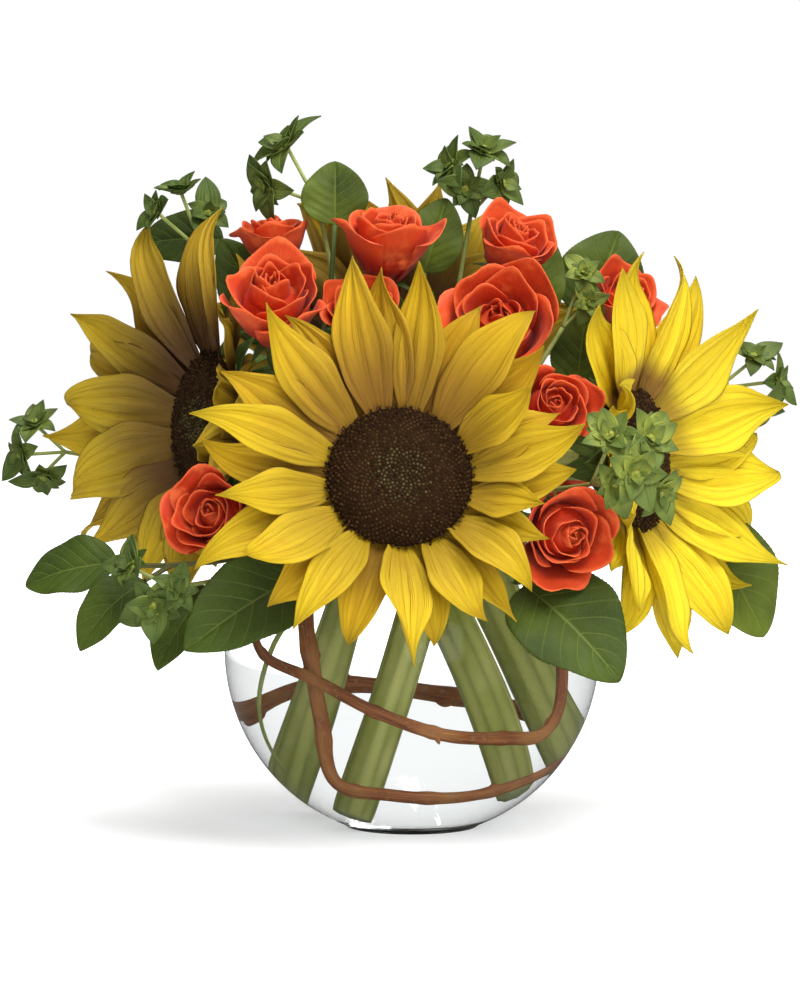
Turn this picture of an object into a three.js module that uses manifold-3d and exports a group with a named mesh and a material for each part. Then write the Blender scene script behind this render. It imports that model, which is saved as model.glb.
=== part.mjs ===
// A round glass bowl of cut flowers, in millimetres, +Z up, with the origin at the centre of the bowl's foot.
// Four sunflowers, twelve spray roses, thoroughwax sprigs and broad leaves stand in water, with two
// willow switches coiled inside the glass. The side that faces -Y is the front.
import * as THREE from "three";
import { mergeVertices } from "three/addons/utils/BufferGeometryUtils.js";
import Module from "manifold-3d";

const wasm = await Module();
wasm.setup();

// ---- driving dimensions ----
const GAP = 0.3; // clearance between pieces that touch
const BOWL = { radius: 75.2, centreHeight: 71, wall: 3.6, rimHeight: 124, floor: 5, segments: 28, arcs: 6 };
const WATER = { level: 108, inset: 0.35 }; // the inset keeps the gap to the glass between their facets too
const DISC = { radius: 28.5, edge: 1.2, dome: 6.5, dent: 2, stud: 0.55, segments: 20 };
const DISC_RINGS = [0.3, 0.58, 0.84]; // where the disc's rings of points lie, as shares of its radius
const RAY = { rootRadius: 28, thick: 1.3, cup: 0.32, sections: [0.38, 0.74] };
const WHORL = { front: -0.35, back: -2, depth: 2.2 }; // the heights of the two whorls' tops, below the disc
const HEAD = { top: -4.5, rim: 26, back: 17, stemRadius: 6.8, neck: 20, bracts: 10, bractReach: 43 };
const ROSE = { depth: 1.42, petals: 5, stemRadius: 1.7, stalkRadius: 1.4 }; // its depth is in rim radii
const ROSE_TURN = 23; // each bloom is turned on its axis by this much more than the one before it
const CALYX = { radius: 3.4, depth: 6, sepals: 13, droop: 3.5 };
const LEAF = { thick: 0.9, fold: 0.18, wave: 0.07, stalkRadius: 1.15, sections: [0.12, 0.32, 0.56, 0.8] };
const TWIG_RADIUS = 1.25;
const SPRIG = { stemRadius: 1.1, stalkRadius: 0.75, bracts: 5, bractWidth: 0.3 };

// How many sides a stem has, and how many straight lengths its curve is made of.
const THICK_STEM = { sides: 7, steps: 9 };
const WILLOW_STEM = { sides: 5, steps: 19 };
const THIN_STEM = { sides: 4, steps: 8 };
const ROSE_STALK = { sides: 4, steps: 3 };
const SPRIG_STALK = { sides: 3, steps: 1 };

const COLOURS = {
  glass: { color: 0xe8f0f0, roughness: 0.03, metalness: 0, transparent: true, opacity: 0.3 },
  water: { color: 0xf0f6f8, roughness: 0.02, metalness: 0, transparent: true, opacity: 0.25 },
  ray: { color: 0xf6c619, roughness: 0.6, metalness: 0 },
  disc: { color: 0x2c180e, roughness: 0.9, metalness: 0 },
  stem: { color: 0x6f8438, roughness: 0.6, metalness: 0 },
  rose: { color: 0xe2461f, roughness: 0.55, metalness: 0 },
  roseGreen: { color: 0x3f5f26, roughness: 0.6, metalness: 0 },
  leaf: { color: 0x33521f, roughness: 0.5, metalness: 0 },
  sprig: { color: 0x5e8432, roughness: 0.6, metalness: 0 },
  bark: { color: 0x6e3a1e, roughness: 0.6, metalness: 0 },
};

// ---- the plants: places in mm, angles in degrees ----
const degrees = Math.PI / 180;
const range = (count) => Array.from({ length: count }, (_, i) => i);

// The places where a stalk leans over the bowl's rim, from the water outwards, each a reach and a height.
// The azimuth runs clockwise from +Y.
const RIM_LEAN = [[39, 96], [42, 121], [52, 132.5]];
const overRim = (azimuth) => RIM_LEAN.map(([reach, height]) =>
  [reach * Math.sin(azimuth * degrees), reach * Math.cos(azimuth * degrees), height]);

// A ray petal is [azimuth, length, lift, curl, sway]. Azimuth runs clockwise from the top of the head as
// it is faced, lift is its angle above the disc's plane at the root, and curl is how much that angle
// changes out to the tip. A sunflower is its disc's centre, the way it faces, its front and back whorls
// of rays, and its stem's places from the cut end upwards.
const SUNFLOWERS = {
  centre: { at: [-5, -78, 144], faces: [0.05, -0.93, 0.36], width: 20,
    front: [
      [10, 60, 22, -4, 0.02], [37, 59, 24, -8, 0.05], [62, 36, 34, 8, 0], [83, 48, 24, 2, -0.05],
      [105, 34, 22, 16, 0], [131, 40, 24, -18, 0], [155, 42, 26, -34, 0], [181, 47, 24, -26, 0],
      [213, 49, 26, -24, 0.03], [236, 50, 24, -8, 0], [260, 46, 24, 2, 0], [288, 59, 23, 6, 0.02],
      [317, 56, 22, 0, 0.04], [344, 60, 21, 0, 0.05],
    ],
    back: [
      [-4, 57, 14, 6, 0], [23, 52, 12, 4, 0], [47, 50, 14, 8, 0.08], [72, 40, 13, 10, 0],
      [94, 38, 12, 14, 0], [118, 36, 10, 10, 0], [144, 42, 10, -28, 0], [168, 38, 6, -26, 0],
      [197, 40, 8, -20, 0], [224, 42, 8, -10, 0], [249, 57, 8, 14, 0.04], [274, 50, 10, 10, 0],
      [302, 52, 9, 12, 0], [330, 52, 9, 10, 0],
    ],
    stem: [[-37, 22, 22], [-27, -2, 62], [-17, -26, 104], [-11, -36, 124]] },
  left: { at: [-83, 12, 162], faces: [-0.85, -0.5, 0.1], width: 21,
    front: [
      [8, 58, 18, -6, 0], [38, 28, 22, 6, 0], [70, 32, 44, 16, 0], [102, 32, 54, 12, 0],
      [134, 38, 40, 14, 0], [164, 42, 26, 8, 0], [194, 46, 26, -4, 0], [222, 60, 27, -2, 0],
      [249, 66, 30, -4, 0], [276, 67, 32, -4, 0], [303, 66, 28, -4, 0], [333, 62, 22, 4, 0],
    ],
    back: [
      [-8, 58, 8, 6, 0], [22, 44, 4, 0, 0], [54, 15, 10, 6, 0], [86, 30, 32, 12, 0],
      [118, 32, 34, 12, 0], [149, 42, 20, 8, 0], [180, 46, 12, 4, 0], [209, 56, 14, 6, 0],
      [236, 66, 16, 8, 0], [263, 68, 19, 8, 0], [290, 68, 18, 8, 0], [319, 64, 14, 8, 0],
    ],
    stem: [[35, -12, 24], [20, 0, 62], [-2, 12, 104], [-16, 15, 124]] },
  right: { at: [91, -8, 147], faces: [0.9, -0.42, 0.06], width: 21,
    front: [
      [18, 62, 20, -10, 0.05], [46, 62, 30, 8, 0], [74, 62, 34, 2, 0], [101, 64, 34, 2, 0],
      [128, 62, 34, 0, 0], [155, 60, 26, 4, 0], [184, 54, 22, -12, 0], [214, 42, 20, -8, 0],
      [244, 30, 26, 4, 0], [276, 26, 34, 10, 0], [308, 30, 30, 4, 0], [338, 56, 14, -14, 0],
    ],
    back: [
      [2, 58, 2, -8, 0], [32, 60, 12, 12, 0], [60, 60, 18, 14, 0], [88, 64, 22, 12, 0],
      [114, 60, 22, 12, 0], [141, 58, 18, 8, 0], [169, 54, 8, 0, 0], [199, 48, 6, -14, 0],
      [229, 34, 8, 0, 0], [260, 26, 18, 10, 0], [292, 28, 18, 8, 0], [323, 46, 4, -8, 0],
    ],
    stem: [[-21, -16, 14], [-7, -20, 56], [8, -14, 102], [20, -9, 124]] },
  back: { at: [-6, 76, 186], faces: [0, 0.86, 0.5], width: 20,
    front: range(12).map((i) => [i * 30, 52 + 4 * Math.sin(i * 2.3), 24, 6 * Math.cos(i * 1.7), 0]),
    back: range(12).map((i) => [i * 30 + 15, 52 + 5 * Math.cos(i * 2.9), 11, 8 * Math.sin(i * 1.9), 0]),
    stem: [[44, 24, 34], [26, 30, 74], [8, 37, 110], [2, 40, 128]] },
};

// A leaf is its stalk's places up to the foot of its blade, then the blade's tip, its width, the way that
// its upper face looks, and how far the blade arches.
// A rose is the centre of its open rim, the way it faces and its rim's radius. A spray is one stem, from
// its cut end upwards, the stalks that leave its top for each rose, and the leaves that grow from it.
const ROSE_SPRAYS = {
  a: { stem: [[-27, -2, 86], [-33, -9, 124], [-42, -10, 168]],
    roses: { rose_1: { at: [-54, -36, 219], faces: [0.04, -0.66, 0.75], radius: 21 },
      rose_2: { at: [-56, 18, 243], faces: [-0.1, -0.1, 1], radius: 14 } },
    leaves: [
      { stalk: [[-42, -10, 168], [-34, 4, 205], [-31, 11, 241]],
        tip: [-31, 17, 267], width: 27, faces: [0, -1, 0.1], arch: 1 },
    ] },
  b: { stem: [[-5, -3, 86], [-3, -8, 124], [-10, -4, 170]],
    roses: { rose_3: { at: [-8, -8, 244], faces: [0.1, -0.3, 0.95], radius: 18.5 },
      rose_10: { at: [-19, -22, 209], faces: [0, -0.8, 0.6], radius: 15.5 } },
    leaves: [
      { stalk: [[-10, -4, 170], [0, 12, 195], [5, 14, 222]],
        tip: [14, 20, 252], width: 24, faces: [0, -1, 0.2], arch: 2 },
    ] },
  c: { stem: [[22, 12, 90], [14, 6, 124], [20, 4, 166]],
    roses: { rose_4: { at: [44, -4, 240], faces: [0.3, -0.5, 0.8], radius: 17 },
      rose_5: { at: [32, -38, 207], faces: [-0.1, -0.85, 0.5], radius: 22.5 },
      rose_7: { at: [56, -54, 172], faces: [0.22, -0.9, 0.3], radius: 15.5 } },
    leaves: [] },
  d: { stem: [[30, 18, 88], [34, 15, 124], [50, 32, 166]],
    roses: { rose_6: { at: [90, 42, 216], faces: [0.3, -0.7, 0.65], radius: 15.5 } },
    leaves: [
      { stalk: [[50, 32, 166], [46, 36, 184], [48, 37, 202]],
        tip: [54, 44, 240], width: 25, faces: [0, -1, 0.2], arch: 3 },
      { stalk: [[50, 32, 166], [62, 58, 184], [73, 67, 203]],
        tip: [87, 72, 240], width: 38, faces: [0.1, -0.95, 0.3], arch: 3 },
    ] },
  e: { stem: overRim(140),
    roses: { rose_8: { at: [61, -80, 122], faces: [0.3, -0.95, -0.02], radius: 19 } },
    leaves: [
      { stalk: [overRim(140)[2], [36, -54, 117], [43, -63, 102]],
        tip: [78, -88, 68], width: 43, faces: [0.1, -0.9, 0.5], arch: 4 },
    ] },
  f: { stem: overRim(222),
    roses: { rose_9: { at: [-79, -70, 131], faces: [-0.35, -0.9, 0.2], radius: 17 } },
    leaves: [
      { stalk: [overRim(222)[2], [-38, -54, 116], [-42, -62, 106]],
        tip: [-86, -84, 79], width: 36, faces: [0, -0.85, 0.5], arch: 4 },
    ] },
  g: { stem: overRim(330),
    roses: { rose_11: { at: [-58, 78, 138], faces: [-0.45, 0.85, 0.2], radius: 17 } },
    leaves: [
      { stalk: [overRim(330)[2], [-25, 60, 124], [-26, 68, 114]],
        tip: [-44, 100, 86], width: 36, faces: [-0.2, 0.6, 0.75], arch: 4 },
    ] },
  h: { stem: overRim(40),
    roses: { rose_12: { at: [62, 76, 136], faces: [0.5, 0.82, 0.24], radius: 16.5 } },
    leaves: [
      { stalk: [overRim(40)[2], [29, 60, 126], [30, 68, 114]],
        tip: [48, 102, 88], width: 36, faces: [0.2, 0.6, 0.75], arch: 4 },
    ] },
};

// A twig is its stem, from the cut end upwards, and its leaves.
const LEAF_TWIGS = {
  leaf_twig_left: { stem: [...overRim(252), [-66, -33, 112], [-88, -38, 108], [-108, -32, 107]],
    leaves: [
      { stalk: [[-66, -33, 112], [-78, -48, 100]],
        tip: [-98, -66, 70], width: 24, faces: [-0.4, -0.8, 0.5], arch: 3 },
      { stalk: [[-88, -38, 108], [-104, -42, 102]],
        tip: [-129, -52, 76], width: 25, faces: [-0.3, -0.7, 0.65], arch: 4 },
      { stalk: [[-108, -32, 107], [-116, -28, 108]],
        tip: [-153, -18, 98], width: 27, faces: [-0.2, -0.75, 0.65], arch: 3 },
    ] },
  leaf_twig_right: { stem: [...overRim(76), [72, 28, 117], [100, 42, 112]],
    leaves: [{ stalk: [[100, 42, 112], [119, 44, 118]],
        tip: [146, 42, 72], width: 40, faces: [0.3, -0.9, 0.3], arch: 3 }] },
  leaf_twig_top_left: { stem: [[-18, 26, 96], [-24, 31, 124], [-42, 46, 180], [-66, 56, 226]],
    leaves: [
      { stalk: [[-66, 56, 226], [-78, 58, 236]],
        tip: [-114, 60, 234], width: 24, faces: [0, -0.9, 0.4], arch: 3 },
      { stalk: [[-42, 46, 180], [-54, 44, 194]],
        tip: [-78, 36, 236], width: 30, faces: [0.1, -1, 0.1], arch: 2 },
    ] },
  leaf_twig_mid_right: { stem: [[38, -4, 96], [37, 5, 124], [42, 17, 150], [60, 17, 164]],
    leaves: [{ stalk: [[60, 16, 164], [66, 8, 176]],
        tip: [70, 6, 209], width: 24, faces: [0, -1, 0.1], arch: 2 }] },
};

// A sprig is its stem's places from the cut end upwards, and its whorls: each its place, its size and the
// three numbers of the way that it faces.
const SPRIGS = {
  sprig_top_left: { stem: [[-16, 28, 94], [-21, 32, 124], [-36, 52, 160], [-60, 50, 200], [-85, 38, 230]],
    whorls: [[-94, 36, 254, 13, -0.2, -0.4, 0.9], [-103, 30, 246, 12, -0.7, -0.6, 0.3],
      [-84, 44, 246, 13, 0.2, -0.9, 0.4]] },
  sprig_tall: { stem: [[-12, 0, 94], [-15, 2, 124], [-27, 14, 196], [-38, 20, 250]],
    whorls: [[-50, 20, 272, 16, -0.6, -0.4, 0.7], [-57, 20, 257, 14, -0.7, -0.6, -0.2]] },
  sprig_top_right: { stem: [[6, 20, 94], [9, 22, 124], [15, 26, 190], [24, 28, 246]],
    whorls: [[29, 26, 270, 14, 0.2, -0.5, 0.8], [17, 26, 264, 14, -0.7, -0.5, 0.5],
      [35, 26, 258, 13, 0.8, -0.6, 0.1], [22, 22, 256, 12, -0.1, -1, 0]] },
  sprig_far_right: { stem: [...overRim(60), [72, 50, 150], [128, 66, 174]],
    whorls: [[143, 66, 186, 12, 0.2, -0.5, 0.8], [152, 66, 177, 12, 0.9, -0.4, 0.1],
      [146, 62, 167, 11, 0.4, -0.7, -0.6]] },
  sprig_front_right: { stem: [...overRim(122), [68, -70, 141]],
    whorls: [[75, -84, 159, 13, -0.2, -0.8, 0.5], [88, -84, 158, 14, 0.5, -0.8, 0.4],
      [76, -80, 142, 11, 0.2, -0.9, -0.3], [83, -90, 146, 14, 0.2, -1, 0],
      [92, -82, 139, 12, 0.6, -0.7, -0.4]] },
  sprig_mid_right: { stem: [[8, 0, 94], [13, -1, 124], [32, 0, 154], [60, -4, 200]],
    whorls: [[68, -5, 221, 9, 0, -0.9, 0.5], [70, -6, 210, 9, 0.2, -1, 0]] },
  sprig_far_left: { stem: [...overRim(296), [-70, 50, 136], [-146, 76, 147]],
    whorls: [[-158, 76, 158, 12, -0.2, -0.5, 0.8], [-163, 74, 146, 12, -0.8, -0.6, -0.1],
      [-155, 74, 138, 12, 0, -0.7, -0.7]] },
  sprig_low_left: { stem: [[-47, -25, 28], [-54, -28, 40], [-56, -30, 54], [-48, -28, 76],
      ...overRim(236), [-60, -42, 115], [-74, -54, 104], [-92, -62, 101]],
    whorls: [[-107, -60, 108, 13, -0.6, -0.6, 0.5], [-98, -74, 95, 14, -0.1, -1, 0],
      [-90, -76, 101, 10, 0.5, -0.8, 0.4]] },
};

// A willow switch is its places and its radius at both ends. Each lies along the inside of the glass.
const WILLOWS = {
  willow_front: { radius: [3.2, 1.9],
    path: [[41, -25, 115], [51, -33, 90], [55, -36, 68], [53, -34, 50], [47, -37, 43], [34, -46, 43],
      [12, -57, 45], [-14, -58, 54], [-36, -51, 65], [-54, -39, 72], [-58, -34, 78], [-55, -29, 92]] },
  willow_coil: { radius: [3.3, 1.5],
    path: [[-37, -36, 112], [-38, -40, 86], [-35, -42, 66], [-32, -39, 50], [-27, -34, 26],
      [-8, -38, 22], [18, -34, 21], [42, -22, 26], [56, 10, 36], [46, 42, 46], [8, 63, 54],
      [-26, 58, 56], [-49, 33, 41], [-55, 13, 35]] },
};

// ---- small helpers ----
const at = ([x, y, z]) => new THREE.Vector3(x, y, z);

// The point at a reach, azimuth (clockwise from +Y) and height.
const polar = (reach, azimuth, height) =>
  new THREE.Vector3(reach * Math.sin(azimuth * degrees), reach * Math.cos(azimuth * degrees), height);

// An indexed closed body from a list of points and triangles, turned to face out if it came out inside out.
function closedBody(points, triangles) {
  const geometry = new THREE.BufferGeometry();
  const places = points.flatMap((point) => point.toArray());
  geometry.setAttribute("position", new THREE.Float32BufferAttribute(places, 3));
  const signed = triangles.reduce((sum, [a, b, c]) => {
    return sum + points[a].dot(new THREE.Vector3().crossVectors(points[b], points[c]));
  }, 0);
  geometry.setIndex(triangles.flatMap(([a, b, c]) => (signed < 0 ? [a, c, b] : [a, b, c])));
  return geometry;
}

// A closed body from rings of points, each ring of the same count, between a first and a last point.
function ringedBody(first, rings, last) {
  const count = rings[0].length;
  const points = [first, ...rings.flat(), last];
  const triangles = [];
  const final = 1 + (rings.length - 1) * count;
  for (let j = 0; j < count; j++) {
    const next = (j + 1) % count;
    triangles.push([0, 1 + j, 1 + next], [points.length - 1, final + next, final + j]);
    for (let k = 0; k < rings.length - 1; k++) {
      const [a, b] = [1 + k * count + j, 1 + k * count + next];
      const alike = j % 2 === 0; // a blade's two faces are split the same way, so that they can't cross
      if (alike) triangles.push([a, a + count, b + count], [a, b + count, b]);
      else triangles.push([a, a + count, b], [b, a + count, b + count]);
    }
  }
  return closedBody(points, triangles);
}

// A closed body with a star-shaped outline: one fan of triangles over it and one under it.
function starBody(outline, over, under) {
  const count = outline.length;
  const fans = outline.flatMap((_, i) => [[i, (i + 1) % count, count], [(i + 1) % count, i, count + 1]]);
  return closedBody([...outline, over, under], fans);
}

function toSolid(geometry) {
  const bare = geometry.clone();
  bare.deleteAttribute("normal");
  bare.deleteAttribute("uv");
  const merged = mergeVertices(bare, 1e-3);
  return new wasm.Manifold(new wasm.Mesh({
    numProp: 3,
    vertProperties: new Float32Array(merged.attributes.position.array),
    triVerts: new Uint32Array(merged.index.array),
  }));
}

function toGeometry(solid) {
  const mesh = solid.getMesh();
  const geometry = new THREE.BufferGeometry();
  geometry.setAttribute("position", new THREE.BufferAttribute(mesh.vertProperties, mesh.numProp));
  geometry.setIndex(new THREE.BufferAttribute(mesh.triVerts, 1));
  return geometry;
}

// The union of several bodies, without the scraps that a cut may leave beside it.
function fuse(geometries) {
  const whole = geometries.map(toSolid).reduce((sum, next) => sum.add(next));
  const [largest, ...scraps] = whole.decompose().sort((a, b) => b.volume() - a.volume());
  if (scraps.some((scrap) => scrap.volume() > 1)) throw new Error("a piece has come apart");
  return toGeometry(largest);
}

const curveThrough = (places) => new THREE.CatmullRomCurve3(places.map(at), false, "centripetal");

// The place on a thin stem's middle line, at one of its rings, that is nearest to the one given.
function nearestRing(places, target) {
  const rings = curveThrough(places).getSpacedPoints(THIN_STEM.steps);
  const distances = rings.map((ring) => ring.distanceTo(at(target)));
  return rings[distances.indexOf(Math.min(...distances))].toArray();
}

// A round stick along a smooth curve through the places, its radius running from the first value to the
// last. A hole for it is the same stick, grown all over.
function stick(places, radii, { sides, steps }, grown = 0) {
  const curve = curveThrough(places);
  const frames = curve.computeFrenetFrames(steps, false);
  const rings = range(steps + 1).map((k) => {
    const centre = curve.getPointAt(k / steps);
    if (k === 0) centre.addScaledVector(frames.tangents[0], -grown);
    if (k === steps) centre.addScaledVector(frames.tangents[steps], grown);
    const radius = THREE.MathUtils.lerp(radii[0], radii[1], k / steps) + grown;
    return range(sides).map((j) => centre.clone()
      .addScaledVector(frames.normals[k], radius * Math.cos((2 * Math.PI * j) / sides))
      .addScaledVector(frames.binormals[k], radius * Math.sin((2 * Math.PI * j) / sides)));
  });
  const middle = (ring) => ring.reduce((sum, p) => sum.add(p), new THREE.Vector3()).divideScalar(sides);
  return ringedBody(middle(rings[0]), rings, middle(rings[steps]));
}

// Turns a flower so that its +Z looks the way given and its +Y stays as upright as it can, and puts it in
// its place.
function frameAt(place, faces) {
  const out = at(faces).normalize();
  const up = new THREE.Vector3(0, 0, 1).addScaledVector(out, -out.z).normalize();
  const right = new THREE.Vector3().crossVectors(up, out);
  return new THREE.Matrix4().makeBasis(right, up, out).setPosition(at(place));
}

// The place on a flower's own axis at a height above its face.
const behind = (height, frame) => new THREE.Vector3(0, 0, height).applyMatrix4(frame).toArray();

const group = new THREE.Group();

function addPiece(name, geometry, colour, matrix) {
  const mesh = new THREE.Mesh(geometry, new THREE.MeshStandardMaterial(COLOURS[colour]));
  mesh.name = name;
  if (matrix) mesh.applyMatrix4(matrix);
  group.add(mesh);
}

// ---- sunflowers, each made about its own axis, with its face towards +Z ----
// How wide a ray petal is along its length, as a share of its greatest width.
const rayOutline = (t) => (1 - t ** 4) * (0.42 + 0.58 * Math.sin((Math.min(1, t / 0.5) * Math.PI) / 2));

// A place along a ray petal, from 0 at its root to 1 at its tip, as the four corners of its diamond section.
function raySection([azimuth, length, lift, curl, sway], width, rootHeight, t) {
  const across = polar(1, azimuth + 90, 0);
  const bend = (Math.abs(curl) < 0.5 ? 0.5 : curl) * degrees;
  const angle = lift * degrees + bend * t;
  const reach = RAY.rootRadius + (length * (Math.sin(angle) - Math.sin(lift * degrees))) / bend;
  const height = rootHeight - (length * (Math.cos(angle) - Math.cos(lift * degrees))) / bend;
  const normal = polar(-Math.sin(angle), azimuth, Math.cos(angle));
  const centre = polar(reach, azimuth, height).addScaledVector(across, sway * length * t * t);
  const half = (width / 2) * rayOutline(t);
  const edge = centre.clone().addScaledVector(normal, RAY.cup * half);
  return [
    edge.clone().addScaledVector(across, -half),
    centre.clone().addScaledVector(normal, RAY.thick / 2),
    edge.clone().addScaledVector(across, half),
    centre.clone().addScaledVector(normal, -RAY.thick / 2),
    centre,
  ];
}

// One whorl of rays round a plate: neighbours share the notch between their roots.
function rayWhorl(rays, width, top) {
  const middle = top - WHORL.depth / 2;
  const notches = rays.map(([azimuth], i) => {
    const before = rays.at(i - 1)[0] - (i === 0 ? 360 : 0);
    return polar(RAY.rootRadius - 1, (before + azimuth) / 2, middle);
  });
  const points = [new THREE.Vector3(0, 0, top), new THREE.Vector3(0, 0, top - WHORL.depth), ...notches];
  const triangles = [];
  rays.forEach((ray, i) => {
    const first = points.length;
    const shoulder = raySection(ray, width, middle, 0);
    points.push(shoulder[1], shoulder[3]);
    const sections = [[2 + i, first, 2 + ((i + 1) % rays.length), first + 1]];
    RAY.sections.forEach((t) => {
      sections.push(range(4).map((j) => points.length + j));
      points.push(...raySection(ray, width, middle, t).slice(0, 4));
    });
    const tip = points.length;
    points.push(raySection(ray, width, middle, 1)[4]);
    const root = sections[0];
    triangles.push([0, root[0], root[1]], [0, root[1], root[2]]);
    triangles.push([1, root[2], root[3]], [1, root[3], root[0]]);
    for (let j = 0; j < 4; j++) {
      const next = (j + 1) % 4;
      triangles.push([sections[2][j], tip, sections[2][next]]);
      for (let k = 0; k < 2; k++) {
        const [a, b, c, d] = [sections[k][j], sections[k][next], sections[k + 1][j], sections[k + 1][next]];
        if (j % 2 === 0) triangles.push([a, c, d], [a, d, b]);
        else triangles.push([a, c, b], [b, c, d]);
      }
    }
  });
  return closedBody(points, triangles);
}

// The disc's height at a share of its radius: a dome with a shallow dent in the middle.
const discHeight = (share) =>
  DISC.edge + DISC.dome * (1 - share ** 2.6) - DISC.dent * Math.exp(-((share / DISC_RINGS[0]) ** 2));

// The seed head: a low dome whose rings of points stand up and dip in turn.
function discBody() {
  const ring = (share, height, stud) => range(DISC.segments).map((j) =>
    polar(DISC.radius * share, (j * 360) / DISC.segments, height + (j % 2 ? stud : -stud)));
  const studded = DISC_RINGS.map((share, i) => ring(share, discHeight(share), DISC.stud * (i % 2 ? 1 : -1)));
  const rim = [ring(1, discHeight(1), 0), ring(0.95, 0, 0)];
  return ringedBody(new THREE.Vector3(0, 0, discHeight(0)), [...studded, ...rim], new THREE.Vector3(0, 0, 0));
}

const turned = (profile, segments) =>
  new THREE.LatheGeometry(profile.map(([x, y]) => new THREE.Vector2(x, y)), segments).rotateX(Math.PI / 2);

// The green back of the head, with its ring of pointed bracts.
function headBack() {
  const { top, rim, back, stemRadius, bractReach } = HEAD;
  const count = 2 * HEAD.bracts;
  const row = (reach, height) => range(count).map((j) => polar(reach, (j * 360) / count, height));
  const bracts = row(rim - 2, top - 6).map((notch, j) => {
    if (j % 2 === 0) return notch;
    return polar(bractReach - (j % 3) * 2, (j * 360) / count, top - (j % 4 === 1 ? 12 : 18));
  });
  const rows = [row(rim, top), bracts, row(rim - 7, top - 10), row(stemRadius + 1, -back)];
  return ringedBody(new THREE.Vector3(0, 0, top), rows, new THREE.Vector3(0, 0, -back));
}

const standingStems = []; // every stem that stands in the water, for the holes that it stands in
const placeStem = (...shape) => {
  standingStems.push(shape);
  return stick(...shape);
};

for (const [name, flower] of Object.entries(SUNFLOWERS)) {
  const frame = frameAt(flower.at, flower.faces);
  const whorls = ["front", "back"].map((side) => rayWhorl(flower[side], flower.width, WHORL[side]));
  addPiece(`sunflower_${name}_petals`, fuse(whorls), "ray", frame);
  addPiece(`sunflower_${name}_disc`, discBody(), "disc", frame);
  const neck = [-HEAD.back - HEAD.neck, -HEAD.back + 2].map((z) => behind(z, frame));
  const stem = placeStem([...flower.stem, ...neck], [HEAD.stemRadius, HEAD.stemRadius], THICK_STEM);
  addPiece(`sunflower_${name}_stem`, fuse([stem, headBack().applyMatrix4(frame)]), "stem");
}

// ---- leaves ----
const leafOutline = (t) => Math.sin(Math.PI * t ** 0.74) ** 0.66;

// A leaf's stalk, from its stem, and its folded, gently waved blade.
function leafBodies({ stalk, tip, width, faces, arch }, stemPlaces) {
  const [foot, end] = [at(stalk.at(-1)), at(tip)];
  const run = end.clone().sub(foot);
  const across = new THREE.Vector3().crossVectors(run, at(faces)).normalize();
  const normal = new THREE.Vector3().crossVectors(across, run).normalize();
  const section = (t, i) => {
    const centre = foot.clone().addScaledVector(run, t).addScaledVector(normal, arch * Math.sin(Math.PI * t));
    const half = (width / 2) * leafOutline(t);
    const wave = (i % 2 ? 1 : -1) * LEAF.wave * half;
    return [
      centre.clone().addScaledVector(normal, LEAF.fold * half + wave).addScaledVector(across, -half),
      centre.clone().addScaledVector(normal, LEAF.thick / 2),
      centre.clone().addScaledVector(normal, LEAF.fold * half - wave).addScaledVector(across, half),
      centre.clone().addScaledVector(normal, -LEAF.thick / 2),
    ];
  };
  const root = foot.clone().addScaledVector(run, -0.05); // just inside its stalk
  const held = [nearestRing(stemPlaces, stalk[0]), ...stalk.slice(1)];
  const steps = 2 * stalk.length - 3;
  const stalkBody = stick(held, [LEAF.stalkRadius, LEAF.stalkRadius], { sides: THIN_STEM.sides, steps });
  return [stalkBody, ringedBody(root, LEAF.sections.map(section), end)];
}

for (const [name, twig] of Object.entries(LEAF_TWIGS)) {
  const stem = placeStem(twig.stem, [TWIG_RADIUS, TWIG_RADIUS], THIN_STEM);
  addPiece(name, fuse([stem, ...twig.leaves.flatMap((leaf) => leafBodies(leaf, twig.stem))]), "leaf");
}

// ---- roses, each made about its own axis, with its open rim at z = 0 and its face towards +Z ----
// One body whose rows climb the outside of the cup and then go in over three layers of petals to the bud.
// Each petal winds over the next: its edge stands out at one end and tucks in at the other.
function roseBloom(radius, turn) {
  const [wound, shift] = [[-1, 0, 1], 180 / ROSE.petals];
  const count = ROSE.petals * wound.length;
  const row = (reach, height, overlap, crest, offset) => range(count).map((j) => {
    const place = wound[j % wound.length];
    const lift = crest * (place === 0 ? 1 : -0.5);
    const azimuth = turn + offset + (j * 360) / count;
    return polar(radius * (reach + overlap * place), azimuth, radius * (height + lift));
  });
  return ringedBody(new THREE.Vector3(0, 0, -ROSE.depth * radius), [
    row(0.34, -ROSE.depth + 0.08, 0.02, 0, 0),
    row(0.86, -0.6, 0.06, 0, 0),
    row(1.05, 0, 0.06, 0.1, 0),
    row(0.84, -0.26, 0.03, 0, 0),
    row(0.7, 0.04, 0.06, 0.06, shift),
    row(0.52, -0.2, 0.03, 0, shift),
    row(0.38, 0.04, 0.05, 0.04, 0),
    row(0.2, -0.14, 0.02, 0, 0),
  ], new THREE.Vector3(0, 0, 0.02 * radius));
}

// The green cup under a rose, with a sepal for each petal that turns back.
function roseCalyx(radius) {
  const top = -ROSE.depth * radius - GAP;
  const count = 2 * ROSE.petals;
  const row = (reach, height) => range(count).map((j) => polar(reach, (j * 360) / count, height));
  const sepals = row(CALYX.radius, top - 1.2).map((notch, j) =>
    (j % 2 ? polar(CALYX.sepals, (j * 360) / count, top - 1.2 - CALYX.droop) : notch));
  const cup = [row(CALYX.radius, top - 2.6), row(CALYX.radius - 1, top - CALYX.depth)];
  const rows = [row(CALYX.radius, top), sepals, ...cup];
  return ringedBody(new THREE.Vector3(0, 0, top), rows, new THREE.Vector3(0, 0, top - CALYX.depth));
}

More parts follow.
